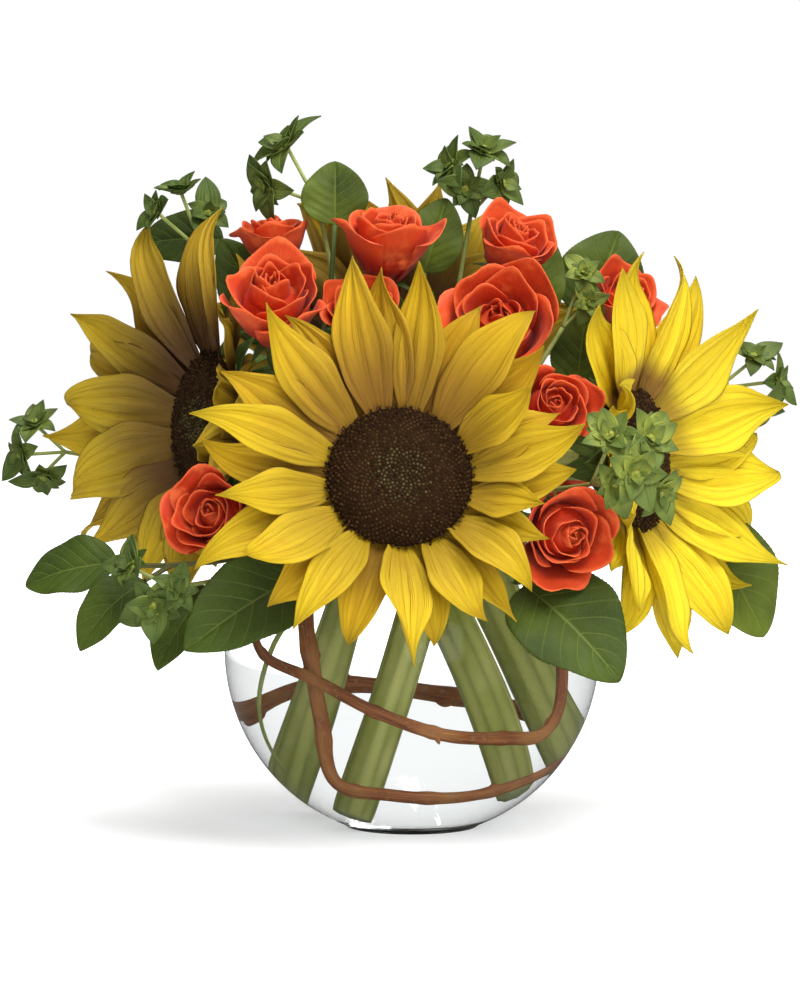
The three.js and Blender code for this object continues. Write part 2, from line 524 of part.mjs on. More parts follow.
let turn = 0;
for (const [letter, spray] of Object.entries(ROSE_SPRAYS)) {
  const stalks = Object.entries(spray.roses).map(([name, rose]) => {
    const frame = frameAt(rose.at, rose.faces);
    turn += ROSE_TURN;
    addPiece(`${name}_bloom`, roseBloom(rose.radius, turn), "rose", frame);
    const ends = [14, 4].map((drop) => behind(-ROSE.depth * rose.radius - drop, frame));
    return { ends, calyx: roseCalyx(rose.radius).applyMatrix4(frame) };
  });
  const [first, ...others] = stalks;
  const main = [...spray.stem, ...first.ends];
  const fork = nearestRing(main, spray.stem.at(-1));
  addPiece(`rose_spray_${letter}_stem`, fuse([
    placeStem(main, [ROSE.stemRadius, ROSE.stemRadius], THIN_STEM),
    ...others.map(({ ends }) => stick([fork, ...ends], [ROSE.stalkRadius, ROSE.stalkRadius], ROSE_STALK)),
    ...stalks.map(({ calyx }) => calyx),
    ...spray.leaves.flatMap((leaf) => leafBodies(leaf, main)),
  ]), "roseGreen");
}

// ---- thoroughwax sprigs: whorls of pointed bracts round a knot of tiny flowers ----
function whorl(x, y, z, size, faces) {
  const step = 360 / SPRIG.bracts;
  const outline = range(SPRIG.bracts).flatMap((i) => {
    const azimuth = i * step + x * 7;
    const reach = size * (0.9 + 0.16 * Math.sin(i * 2.4 + y));
    const side = SPRIG.bractWidth * step;
    return [polar(0.5 * reach, azimuth - side, 0.26 * reach), polar(reach, azimuth, 0.36 * reach),
      polar(0.5 * reach, azimuth + side, 0.26 * reach)];
  });
  return starBody(outline, new THREE.Vector3(0, 0, 0.26 * size), new THREE.Vector3(0, 0, -0.08 * size))
    .applyMatrix4(frameAt([x, y, z], faces));
}

for (const [name, sprig] of Object.entries(SPRIGS)) {
  const stem = placeStem(sprig.stem, [SPRIG.stemRadius, SPRIG.stemRadius], THIN_STEM);
  const heads = sprig.whorls.flatMap(([x, y, z, size, ...faces]) => {
    const stalk = stick([sprig.stem.at(-1), [x, y, z]], [SPRIG.stalkRadius, SPRIG.stalkRadius], SPRIG_STALK);
    return [stalk, whorl(x, y, z, size, faces)];
  });
  addPiece(name, fuse([stem, ...heads]), "sprig");
}

// ---- willow switches ----
for (const [name, willow] of Object.entries(WILLOWS)) {
  addPiece(name, placeStem(willow.path, willow.radius, WILLOW_STEM), "bark");
}

// ---- the bowl: a sphere cut off by its flat foot and by its open rim ----
function sphereArc(radius, fromHeight, toHeight) {
  const start = Math.asin((fromHeight - BOWL.centreHeight) / radius);
  const end = Math.asin((toHeight - BOWL.centreHeight) / radius);
  return range(BOWL.arcs + 1).map((i) => {
    const angle = start + ((end - start) * i) / BOWL.arcs;
    return [radius * Math.cos(angle), BOWL.centreHeight + radius * Math.sin(angle)];
  });
}

const innerRadius = BOWL.radius - BOWL.wall;
addPiece("bowl_glass", turned([
  [0, 0],
  ...sphereArc(BOWL.radius, 0, BOWL.rimHeight),
  ...sphereArc(innerRadius, BOWL.floor, BOWL.rimHeight).reverse(),
  [0, BOWL.floor],
], BOWL.segments), "glass");

// ---- the water, with a plain hole where each stem stands in it ----
// Its wall's arcs follow the glass's own, so that the gap stays the same between the facets.
const glassWall = sphereArc(innerRadius, BOWL.floor, BOWL.rimHeight);
const wetWall = glassWall.filter(([, height]) => height < WATER.level);
const [below, above] = [wetWall.at(-1), glassWall[wetWall.length]];
const share = (WATER.level - below[1]) / (above[1] - below[1]);
const waterLine = [THREE.MathUtils.lerp(below[0], above[0], share), WATER.level];
const waterWall = [...wetWall, waterLine].map(([reach, height], i) => [
  reach - WATER.inset, i === 0 ? height + GAP : height,
]);
const waterBody = toSolid(turned([[0, BOWL.floor + GAP], ...waterWall, [0, WATER.level]], BOWL.segments));
const holes = standingStems.map((shape) => toSolid(stick(...shape, GAP)));
addPiece("water", toGeometry(holes.reduce((left, hole) => left.subtract(hole), waterBody)), "water");

export default group;
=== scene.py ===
"""Sunflowers, spray roses, thoroughwax and curly willow in a round glass bowl of water.

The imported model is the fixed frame. Each operator models one group of pieces round it, and the panel in
the 3D view's sidebar lists them. Places and sizes of plants are in millimetres, and meshes in metres.
"""

import math

import bpy
import numpy as np
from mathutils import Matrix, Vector


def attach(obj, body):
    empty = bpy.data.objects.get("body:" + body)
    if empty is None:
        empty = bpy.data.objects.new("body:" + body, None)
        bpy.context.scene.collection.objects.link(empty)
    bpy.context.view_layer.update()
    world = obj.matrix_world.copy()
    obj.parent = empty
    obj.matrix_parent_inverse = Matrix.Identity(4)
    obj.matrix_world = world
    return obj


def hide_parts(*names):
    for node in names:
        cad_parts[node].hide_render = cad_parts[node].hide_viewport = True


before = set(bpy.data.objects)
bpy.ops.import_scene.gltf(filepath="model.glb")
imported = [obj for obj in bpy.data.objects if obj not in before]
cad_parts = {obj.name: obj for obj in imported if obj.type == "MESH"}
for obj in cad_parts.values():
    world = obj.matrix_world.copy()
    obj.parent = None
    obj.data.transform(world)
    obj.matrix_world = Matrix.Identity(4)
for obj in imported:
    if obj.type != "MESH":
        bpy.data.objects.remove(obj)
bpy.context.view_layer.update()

bl_info = {
    "name": "Sunflower bowl",
    "version": (1, 0, 0),
    "blender": (4, 5, 0),
    "location": "View3D > Sidebar > Bouquet",
    "description": "Models cut sunflowers and spray roses in a round glass bowl of water",
    "category": "Object",
}

MM = 0.001
UPRIGHT = np.array([0.0, 0.0, 1.0])
GOLDEN_ANGLE = math.radians(137.508)
ROSE_SPIRAL = math.radians(144)
CURVE_STEPS = 240

# ---- the plants: places in millimetres, angles in degrees ----
# The places where a stalk leans over the bowl's rim, from the water outwards, each a reach and a height.
RIM_LEAN = [(39, 96), (42, 121), (52, 132.5)]


def over_rim(azimuth):
    """The places of a stalk that leans over the rim. The azimuth runs clockwise from +Y, in degrees."""
    turn = math.radians(azimuth)
    return [[reach * math.sin(turn), reach * math.cos(turn), height] for reach, height in RIM_LEAN]


# A ray petal is [azimuth, length, lift, curl, sway]. Azimuth runs clockwise from the top of the head as
# it is faced, lift is its angle above the disc's plane at the root, curl is how much that angle changes
# out to the tip, and sway is how far the tip drifts aside, as a share of the length. A sunflower is its
# disc's centre, the way it faces, its rays' width, their front and back whorls, and its stem's places from
# the cut end upwards.
SUNFLOWERS = {
    "centre": {"at": [-5, -78, 144], "faces": [0.05, -0.93, 0.36], "width": 22,
        "front": [
          [10, 60, 22, -4, 0.02], [37, 59, 24, -8, 0.05], [62, 36, 34, 8, 0], [83, 48, 24, 2, -0.05],
          [105, 34, 22, 16, 0], [131, 40, 24, -18, 0], [155, 42, 26, -34, 0], [181, 47, 24, -26, 0],
          [213, 49, 26, -24, 0.03], [236, 50, 24, -8, 0], [260, 46, 24, 2, 0], [288, 59, 23, 6, 0.02],
          [317, 56, 22, 0, 0.04], [344, 60, 21, 0, 0.05],
        ],
        "back": [
          [-4, 57, 14, 6, 0], [23, 52, 12, 4, 0], [47, 50, 14, 8, 0.08], [72, 40, 13, 10, 0],
          [94, 38, 12, 14, 0], [118, 36, 10, 10, 0], [144, 42, 10, -28, 0], [168, 38, 6, -26, 0],
          [197, 40, 8, -20, 0], [224, 42, 8, -10, 0], [249, 57, 8, 14, 0.04], [274, 50, 10, 10, 0],
          [302, 52, 9, 12, 0], [330, 52, 9, 10, 0],
        ],
        "stem": [[-37, 22, 22], [-27, -2, 62], [-17, -26, 104], [-11, -36, 124]]},
    "left": {"at": [-83, 12, 162], "faces": [-0.85, -0.5, 0.1], "width": 29,
        "front": [
          [8, 58, 18, -6, 0], [38, 28, 22, 6, 0], [70, 32, 44, 16, 0], [102, 32, 54, 12, 0],
          [134, 38, 40, 14, 0], [164, 42, 26, 8, 0], [194, 46, 26, -4, 0], [222, 60, 27, -2, 0],
          [249, 66, 30, -4, 0], [276, 67, 32, -4, 0], [303, 66, 28, -4, 0], [333, 62, 22, 4, 0],
        ],
        "back": [
          [-8, 58, 8, 6, 0], [22, 44, 4, 0, 0], [54, 15, 10, 6, 0], [86, 30, 32, 12, 0],
          [118, 32, 34, 12, 0], [149, 42, 20, 8, 0], [180, 46, 12, 4, 0], [209, 56, 14, 6, 0],
          [236, 66, 16, 8, 0], [263, 68, 19, 8, 0], [290, 68, 18, 8, 0], [319, 64, 14, 8, 0],
        ],
        "stem": [[35, -12, 24], [20, 0, 62], [-2, 12, 104], [-16, 15, 124]]},
    "right": {"at": [91, -8, 147], "faces": [0.9, -0.42, 0.06], "width": 29,
        "front": [
          [18, 62, 20, -10, 0.05], [46, 62, 30, 8, 0], [74, 62, 34, 2, 0], [101, 64, 34, 2, 0],
          [128, 62, 34, 0, 0], [155, 60, 26, 4, 0], [184, 54, 22, -12, 0], [214, 42, 20, -8, 0],
          [244, 30, 26, 4, 0], [276, 26, 34, 10, 0], [308, 30, 30, 4, 0], [338, 56, 14, -14, 0],
        ],
        "back": [
          [2, 58, 2, -8, 0], [32, 60, 12, 12, 0], [60, 60, 18, 14, 0], [88, 64, 22, 12, 0],
          [114, 60, 22, 12, 0], [141, 58, 18, 8, 0], [169, 54, 8, 0, 0], [199, 48, 6, -14, 0],
          [229, 34, 8, 0, 0], [260, 26, 18, 10, 0], [292, 28, 18, 8, 0], [323, 46, 4, -8, 0],
        ],
        "stem": [[-21, -16, 14], [-7, -20, 56], [8, -14, 102], [20, -9, 124]]},
    "back": {"at": [-6, 76, 186], "faces": [0, 0.86, 0.5], "width": 31,
        "front": [
          [i * 30, 52 + 4 * math.sin(i * 2.3), 24, 6 * math.cos(i * 1.7), 0] for i in range(12)],
        "back": [
          [i * 30 + 15, 52 + 5 * math.cos(i * 2.9), 11, 8 * math.sin(i * 1.9), 0] for i in range(12)],
        "stem": [[44, 24, 34], [26, 30, 74], [8, 37, 110], [2, 40, 128]]},
}

# A leaf is its stalk's places up to the foot of its blade, then the blade's tip, its width, the way that
# its upper face looks, and how far the blade arches.
# A rose is the centre of its open rim, the way it faces and its rim's radius. A spray is one stem, from
# its cut end upwards, the stalks that leave its top for each rose, and the leaves that grow from it.
ROSE_SPRAYS = {
    "a": {"stem": [[-27, -2, 86], [-33, -9, 124], [-42, -10, 168]],
        "roses": {"rose_1": {"at": [-54, -36, 219], "faces": [0.04, -0.66, 0.75], "radius": 21},
          "rose_2": {"at": [-56, 18, 243], "faces": [-0.1, -0.1, 1], "radius": 14}},
        "leaves": [
          {"stalk": [[-42, -10, 168], [-34, 4, 205], [-31, 11, 241]],
            "tip": [-31, 17, 267], "width": 27, "faces": [0, -1, 0.1], "arch": 1},
        ]},
    "b": {"stem": [[-5, -3, 86], [-3, -8, 124], [-10, -4, 170]],
        "roses": {"rose_3": {"at": [-8, -8, 244], "faces": [0.1, -0.3, 0.95], "radius": 18.5},
          "rose_10": {"at": [-19, -22, 209], "faces": [0, -0.8, 0.6], "radius": 15.5}},
        "leaves": [
          {"stalk": [[-10, -4, 170], [0, 12, 195], [5, 14, 222]],
            "tip": [14, 20, 252], "width": 24, "faces": [0, -1, 0.2], "arch": 2},
        ]},
    "c": {"stem": [[22, 12, 90], [14, 6, 124], [20, 4, 166]],
        "roses": {"rose_4": {"at": [44, -4, 240], "faces": [0.3, -0.5, 0.8], "radius": 17},
          "rose_5": {"at": [32, -38, 207], "faces": [-0.1, -0.85, 0.5], "radius": 22.5},
          "rose_7": {"at": [56, -54, 172], "faces": [0.22, -0.9, 0.3], "radius": 15.5}},
        "leaves": []},
    "d": {"stem": [[30, 18, 88], [34, 15, 124], [50, 32, 166]],
        "roses": {"rose_6": {"at": [90, 42, 216], "faces": [0.3, -0.7, 0.65], "radius": 15.5}},
        "leaves": [
          {"stalk": [[50, 32, 166], [46, 36, 184], [48, 37, 202]],
            "tip": [54, 44, 240], "width": 25, "faces": [0, -1, 0.2], "arch": 3},
          {"stalk": [[50, 32, 166], [62, 58, 184], [73, 67, 203]],
            "tip": [87, 72, 240], "width": 38, "faces": [0.1, -0.95, 0.3], "arch": 3},
        ]},
    "e": {"stem": over_rim(140),
        "roses": {"rose_8": {"at": [61, -80, 122], "faces": [0.3, -0.95, -0.02], "radius": 19}},
        "leaves": [
          {"stalk": [over_rim(140)[2], [36, -54, 117], [43, -63, 102]],
            "tip": [78, -88, 68], "width": 43, "faces": [0.1, -0.9, 0.5], "arch": 4},
        ]},
    "f": {"stem": over_rim(222),
        "roses": {"rose_9": {"at": [-79, -70, 131], "faces": [-0.35, -0.9, 0.2], "radius": 17}},
        "leaves": [
          {"stalk": [over_rim(222)[2], [-38, -54, 116], [-42, -62, 106]],
            "tip": [-86, -84, 79], "width": 36, "faces": [0, -0.85, 0.5], "arch": 4},
        ]},
    "g": {"stem": over_rim(330),
        "roses": {"rose_11": {"at": [-58, 78, 138], "faces": [-0.45, 0.85, 0.2], "radius": 17}},
        "leaves": [
          {"stalk": [over_rim(330)[2], [-25, 60, 124], [-26, 68, 114]],
            "tip": [-44, 100, 86], "width": 36, "faces": [-0.2, 0.6, 0.75], "arch": 4},
        ]},
    "h": {"stem": over_rim(40),
        "roses": {"rose_12": {"at": [62, 76, 136], "faces": [0.5, 0.82, 0.24], "radius": 16.5}},
        "leaves": [
          {"stalk": [over_rim(40)[2], [29, 60, 126], [30, 68, 114]],
            "tip": [48, 102, 88], "width": 36, "faces": [0.2, 0.6, 0.75], "arch": 4},
        ]},
}

# A twig is its stem, from the cut end upwards, and its leaves.
LEAF_TWIGS = {
    "leaf_twig_left": {"stem": [*over_rim(252), [-66, -33, 112], [-88, -38, 108], [-108, -32, 107]],
        "leaves": [
          {"stalk": [[-66, -33, 112], [-78, -48, 100]],
            "tip": [-98, -66, 70], "width": 24, "faces": [-0.4, -0.8, 0.5], "arch": 3},
          {"stalk": [[-88, -38, 108], [-104, -42, 102]],
            "tip": [-129, -52, 76], "width": 25, "faces": [-0.3, -0.7, 0.65], "arch": 4},
          {"stalk": [[-108, -32, 107], [-116, -28, 108]],
            "tip": [-153, -18, 98], "width": 27, "faces": [-0.2, -0.75, 0.65], "arch": 3},
        ]},
    "leaf_twig_right": {"stem": [*over_rim(76), [72, 28, 117], [100, 42, 112]],
        "leaves": [{"stalk": [[100, 42, 112], [119, 44, 118]],
            "tip": [146, 42, 72], "width": 40, "faces": [0.3, -0.9, 0.3], "arch": 3}]},
    "leaf_twig_top_left": {"stem": [[-18, 26, 96], [-24, 31, 124], [-42, 46, 180], [-66, 56, 226]],
        "leaves": [
          {"stalk": [[-66, 56, 226], [-78, 58, 236]],
            "tip": [-114, 60, 234], "width": 24, "faces": [0, -0.9, 0.4], "arch": 3},
          {"stalk": [[-42, 46, 180], [-54, 44, 194]],
            "tip": [-78, 36, 236], "width": 30, "faces": [0.1, -1, 0.1], "arch": 2},
        ]},
    "leaf_twig_mid_right": {"stem": [[38, -4, 96], [37, 5, 124], [42, 17, 150], [60, 17, 164]],
        "leaves": [{"stalk": [[60, 16, 164], [66, 8, 176]],
            "tip": [70, 6, 209], "width": 24, "faces": [0, -1, 0.1], "arch": 2}]},
}

# A sprig is its stem's places from the cut end upwards, and its whorls: each its place, its size and the
# three numbers of the way that it faces.
SPRIGS = {
    "sprig_top_left": {
        "stem": [[-16, 28, 94], [-21, 32, 124], [-36, 52, 160], [-60, 50, 200], [-85, 38, 230]],
        "whorls": [[-94, 36, 254, 13, -0.2, -0.4, 0.9], [-103, 30, 246, 12, -0.7, -0.6, 0.3],
          [-84, 44, 246, 13, 0.2, -0.9, 0.4]]},
    "sprig_tall": {"stem": [[-12, 0, 94], [-15, 2, 124], [-27, 14, 196], [-38, 20, 250]],
        "whorls": [[-50, 20, 272, 16, -0.6, -0.4, 0.7], [-57, 20, 257, 14, -0.7, -0.6, -0.2]]},
    "sprig_top_right": {"stem": [[6, 20, 94], [9, 22, 124], [15, 26, 190], [24, 28, 246]],
        "whorls": [[29, 26, 270, 14, 0.2, -0.5, 0.8], [17, 26, 264, 14, -0.7, -0.5, 0.5],
          [35, 26, 258, 13, 0.8, -0.6, 0.1], [22, 22, 256, 12, -0.1, -1, 0]]},
    "sprig_far_right": {"stem": [*over_rim(60), [72, 50, 150], [128, 66, 174]],
        "whorls": [[143, 66, 186, 12, 0.2, -0.5, 0.8], [152, 66, 177, 12, 0.9, -0.4, 0.1],
          [146, 62, 167, 11, 0.4, -0.7, -0.6]]},
    "sprig_front_right": {"stem": [*over_rim(122), [68, -70, 141]],
        "whorls": [[75, -84, 159, 13, -0.2, -0.8, 0.5], [88, -84, 158, 14, 0.5, -0.8, 0.4],
          [76, -80, 142, 11, 0.2, -0.9, -0.3], [83, -90, 146, 14, 0.2, -1, 0],
          [92, -82, 139, 12, 0.6, -0.7, -0.4]]},
    "sprig_mid_right": {"stem": [[8, 0, 94], [13, -1, 124], [32, 0, 154], [60, -4, 200]],
        "whorls": [[68, -5, 221, 9, 0, -0.9, 0.5], [70, -6, 210, 9, 0.2, -1, 0]]},
    "sprig_far_left": {"stem": [*over_rim(296), [-70, 50, 136], [-146, 76, 147]],
        "whorls": [[-158, 76, 158, 12, -0.2, -0.5, 0.8], [-163, 74, 146, 12, -0.8, -0.6, -0.1],
          [-155, 74, 138, 12, 0, -0.7, -0.7]]},
    "sprig_low_left": {"stem": [[-47, -25, 28], [-54, -28, 40], [-56, -30, 54], [-48, -28, 76],
          *over_rim(236), [-60, -42, 115], [-74, -54, 104], [-92, -62, 101]],
        "whorls": [[-107, -60, 108, 13, -0.6, -0.6, 0.5], [-98, -74, 95, 14, -0.1, -1, 0],
          [-90, -76, 101, 10, 0.5, -0.8, 0.4]]},
}

# A willow switch is its places and its radius at both ends. Each lies along the inside of the glass.
WILLOWS = {
    "willow_front": {"radius": [3.2, 1.9],
        "path": [[41, -25, 115], [51, -33, 90], [55, -36, 68], [53, -34, 50], [47, -37, 43], [34, -46, 43],
          [12, -57, 45], [-14, -58, 54], [-36, -51, 65], [-54, -39, 72], [-58, -34, 78], [-55, -29, 92]]},
    "willow_coil": {"radius": [3.3, 1.5],
        "path": [[-37, -36, 112], [-38, -40, 86], [-35, -42, 66], [-32, -39, 50], [-27, -34, 26],
          [-8, -38, 22], [18, -34, 21], [42, -22, 26], [56, 10, 36], [46, 42, 46], [8, 63, 54],
          [-26, 58, 56], [-49, 33, 41], [-55, 13, 35]]},
}
# The front switch has a short broken stub near this x, where it runs lowest, that points this way.
STUB_NEAR_X = 11
STUB_HEADING = [0.45, -0.3, -0.84]

# ---- shades, lamps and camera ----
# These two roses' petals are painted darker, mixed further towards the deep red and painted shade of a
# rose's heart.
DARKENED_ROSES = ("rose_7", "rose_9")
SUNLIT_SPRIGS = ("sprig_front_right", "sprig_mid_right")
# Leaves whose tips lie further left than this stand in the shade.
SHADE_BEGINS_X = -60
# A lamp's place and aim are in metres, its size is its side in metres, and its power is in watts.
LAMPS = {
    "key": {"at": (0.55, -1.05, 1.90), "aim": (0, 0, 0.14), "size": 1.7, "power": 64},
    "fill": {"at": (0.45, -1.9, 0.4), "aim": (0, 0, 0.12), "size": 1.2, "power": 10},
    "top": {"at": (0.2, 0.5, 1.7), "aim": (0, 0, 0.1), "size": 1.2, "power": 14},
}
# The camera's place and aim are in metres, and its lens and sensor in millimetres.
CAMERA = {"at": (-0.0048, -1.400, 0.210), "aim": (-0.0048, 0.0, 0.131), "lens": 126, "sensor": 36}


# ---- sizes and colours that a user would change ----
def length(name, description, default, low=0.0, high=1.0):
    """A length in metres, shown in the scene's unit."""
    return bpy.props.FloatProperty(
        name=name, description=description, default=default, min=low, max=high,
        subtype="DISTANCE", unit="LENGTH")


def ratio(name, description, default, low=0.0, high=2.0):
    """A plain ratio."""
    return bpy.props.FloatProperty(name=name, description=description, default=default, min=low, max=high)


def count(name, description, default, low=1, high=4000):
    """A whole number of repeats."""
    return bpy.props.IntProperty(name=name, description=description, default=default, min=low, max=high)


def angle(name, description, degrees, low=-180.0, high=180.0):
    """An angle, shown in degrees."""
    return bpy.props.FloatProperty(
        name=name, description=description, default=math.radians(degrees), min=math.radians(low),
        max=math.radians(high), subtype="ANGLE", unit="ROTATION")


def colour(name, description, default):
    """A linear colour."""
    return bpy.props.FloatVectorProperty(
        name=name, description=description, default=default, size=3, min=0, max=1, subtype="COLOR")


class BowlSizes(bpy.types.PropertyGroup):
    """The glass bowl and its water."""

    radius: length("Radius", "Outer radius of the round bowl", 0.0752)
    centre_height: length("Centre height", "Height of the sphere's centre above the foot", 0.071)
    wall: length("Wall", "Thickness of the glass", 0.0036)
    rim_height: length("Rim height", "Height of the open rim", 0.124)
    floor: length("Floor", "Thickness of the glass floor", 0.005)
    water_level: length("Water level", "Height of the water's surface", 0.108)
    water_overlap: length("Water overlap", "How far the water reaches into the glass", 0.00015)
    steps: count("Steps", "Sides of the turned glass and water", 112, 24, 256)


class SunflowerSizes(bpy.types.PropertyGroup):
    """Ray petals, seed discs and thick stems."""

    root_radius: length("Petal root radius", "Where the ray petals leave the head", 0.028)
    thickness: length("Petal thickness", "Thickness of a ray petal at its middle", 0.0009)
    cup: ratio("Petal cup", "How far a petal's edges stand up, as a share of its half width", 0.32)
    ribs: count("Petal ribs", "Lengthwise ribs on a ray petal", 9, 1, 31)
    rib_depth: length("Rib depth", "Depth of the grooves between a petal's ribs", 0.00028)
    tilt: angle("Petal tilt", "How far a petal turns, so that one edge lies under its neighbour", 7)
    pleat: ratio("Pleats", "Height of a petal's broad pleats, as a share of its half width", 0.10)
    twist: angle("Twist", "The most that a petal turns along its length", 66)
    tip_curl: angle("Tip curl", "The most that a petal's tip bends on its own", 58)
    disc_radius: length("Disc radius", "Radius of the seed disc", 0.0285)
    dome: length("Dome", "How far the disc stands up", 0.0065)
    dent: length("Dent", "Depth of the dent in the disc's middle", 0.002)
    florets: count("Florets", "Florets on one disc", 1100, 50, 3000)
    floret_height: length("Floret height", "Height of a floret at the disc's edge", 0.0038)
    stem_radius: length("Stem radius", "Radius of a sunflower's stem", 0.0068)
    stem_ribs: count("Stem ribs", "Ribs round a sunflower's stem", 9, 3, 40)
    bracts: count("Bracts", "Green bracts in each ring behind a head", 13, 3, 40)
    bristles: count("Bristles", "Bristles on a stem's upper part", 420, 0, 2000)


class RoseSizes(bpy.types.PropertyGroup):
    """Spray roses."""

    depth: ratio("Depth", "Depth of a bloom in rim radii", 1.42)
    petals: count("Petals", "Petals in one bloom", 17, 5, 60)
    thickness: length("Petal thickness", "Thickness of a rose petal", 0.0004)
    calyx_radius: length("Calyx radius", "Radius of the green cup", 0.0034)
    sepal_length: length("Sepal length", "Length of a sepal", 0.0125)
    stem_radius: length("Stem radius", "Radius of a rose stem", 0.0017)
    stalk_radius: length("Stalk radius", "Radius of a bloom's own stalk", 0.0014)


class FoliageSizes(bpy.types.PropertyGroup):
    """Broad leaves, thoroughwax sprigs and willow."""

    leaf_thickness: length("Leaf thickness", "Thickness of a leaf", 0.0007)
    leaf_fold: ratio("Leaf fold", "How far a leaf's halves stand up from its midrib", 0.18)
    leaf_wave: ratio("Leaf wave", "How far a leaf's edges wave", 0.07)
    vein_pairs: count("Vein pairs", "Side veins on each half of a leaf", 7, 2, 20)
    leaf_stalk_radius: length("Leaf stalk radius", "Radius of a leaf's stalk", 0.00115)
    twig_radius: length("Twig radius", "Radius of a leafy twig", 0.00125)
    sprig_stem_radius: length("Sprig stem radius", "Radius of a thoroughwax stem", 0.0011)
    sprig_stalk_radius: length("Sprig stalk radius", "Radius of a whorl's stalk", 0.00075)
    whorl_bracts: count("Whorl bracts", "Bracts in one whorl", 5, 3, 9)
    whorl_florets: count("Whorl florets", "Tiny flowers in the middle of a whorl", 11, 1, 40)
    bud_spacing: length("Bud spacing", "Distance between two willow buds", 0.026)


class Colours(bpy.types.PropertyGroup):
    """Linear colours of the finishes."""

    petal: colour("Petal", "Ray petal", (0.92, 0.68, 0.018))
    # Fresh petal is a copy of the petal colour with painted light: lighter and more lemon yellow, for the
    # right flower.
    petal_sunlit_lemon: colour("Fresh petal", "Ray petal of a young flower", (0.96, 0.77, 0.024))
    # Golden petal is each petal's own random golden tone, and also painted shade on the upper petals and
    # the back whorl.
    petal_gold_and_shade: colour("Golden petal", "Ray petal grown golden", (0.80, 0.47, 0.012))
    # Old petal is painted shade: the golden partner of a darker copy of the petal colours, for the left and
    # back flowers.
    petal_shade_gold: colour("Old petal", "Ray petal of an older flower", (0.62, 0.40, 0.028))
    # Petal root is painted shade where the petals meet the disc.
    petal_root: colour("Petal root", "Ray petal at its root", (0.30, 0.145, 0.014))
    # Ochre petal and brown petal root are the same darker copy's yellow and root: painted shade.
    petal_ochre: colour("Ochre petal", "Ray petals of the left and back flowers", (0.80, 0.58, 0.022))
    petal_brown: colour("Brown petal root", "Roots of the same petals", (0.15, 0.070, 0.020))
    floret: colour("Floret", "Seed disc", (0.013, 0.005, 0.0015))
    pollen: colour("Pollen", "Floret tips", (0.058, 0.030, 0.010))
    disc_middle: colour("Disc middle", "Closed florets in the disc's middle", (0.088, 0.078, 0.030))
    stem: colour("Stem", "Sunflower stem", (0.33, 0.37, 0.06))
    bract: colour("Bract", "Back of a sunflower's head", (0.10, 0.16, 0.03))
    rose: colour("Rose", "Rose petal", (0.84, 0.105, 0.024))
    rose_edge: colour("Rose edge", "Rose petal's rim", (0.88, 0.155, 0.040))
    rose_green: colour("Rose green", "Rose stem and calyx", (0.08, 0.13, 0.03))
    leaf: colour("Leaf", "Broad leaf", (0.062, 0.098, 0.012))
    vein: colour("Vein", "Veins of a broad leaf", (0.21, 0.27, 0.055))
    # Sprig is the sunlit copy of the bract colour, with painted light, and shaded sprig is the copy with
    # painted shade.
    sprig: colour("Sprig", "Thoroughwax bract", (0.36, 0.41, 0.06))
    sprig_shade: colour("Shaded sprig", "Thoroughwax bract in the shade", (0.19, 0.25, 0.045))
    sprig_heart: colour("Sprig heart", "Thoroughwax flowers", (0.36, 0.38, 0.06))
    bark: colour("Bark", "Willow bark", (0.36, 0.115, 0.030))
    bark_pale: colour("Pale bark", "Bud scars and pores of the bark", (0.36, 0.18, 0.08))
    floor: colour("Floor", "Paper under and behind the bowl", (0.86, 0.86, 0.87))


class BouquetSettings(bpy.types.PropertyGroup):
    """All the settings of the arrangement."""

    bowl: bpy.props.PointerProperty(type=BowlSizes)
    sunflower: bpy.props.PointerProperty(type=SunflowerSizes)
    rose: bpy.props.PointerProperty(type=RoseSizes)
    foliage: bpy.props.PointerProperty(type=FoliageSizes)
    colours: bpy.props.PointerProperty(type=Colours)


# ---- numbers and places ----
def draw(seed, index):
    """A number from 0 to 1 that depends only on a seed and an index."""
    value = math.sin(index * 127.1 + seed * 311.7) * 43758.5453
    return value - math.floor(value)


def spread(seed, index, reach):
    """A number from -reach to reach that depends only on a seed and an index."""
    return (2 * draw(seed, index) - 1) * reach


def smooth(value):
    """A smooth step from 0 to 1."""
    value = np.clip(value, 0, 1)
    return value * value * (3 - 2 * value)


def blend(low, high, value):
    """From low at 0 to high at 1."""
    return low + (high - low) * value


def unit(vector):
    """The direction of a vector."""
    vector = np.asarray(vector, float)
    return vector / np.linalg.norm(vector)


class Facing:
    """A place with a right, up and out direction: out is the way a flower faces, up as steep as can be."""

    def __init__(self, at, faces):
        self.at = np.asarray(at, float)
        self.out = unit(faces)
        self.up = unit(UPRIGHT - self.out * self.out[2])
        self.right = np.cross(self.up, self.out)

    def place(self, local):
        """Points given about the flower's own axis, in the frame of the arrangement."""
        local = np.atleast_2d(local)
        return self.at + local[:, :1] * self.right + local[:, 1:2] * self.up + local[:, 2:3] * self.out

    def behind(self, height):
        """The place on the axis at a height above the flower's face."""
        return self.place([0, 0, height])[0]


def around(azimuth):
    """The outward and the sideways direction at an azimuth that runs clockwise from +Y, in radians."""
    return (np.array([math.sin(azimuth), math.cos(azimuth), 0.0]),
            np.array([math.cos(azimuth), -math.sin(azimuth), 0.0]))


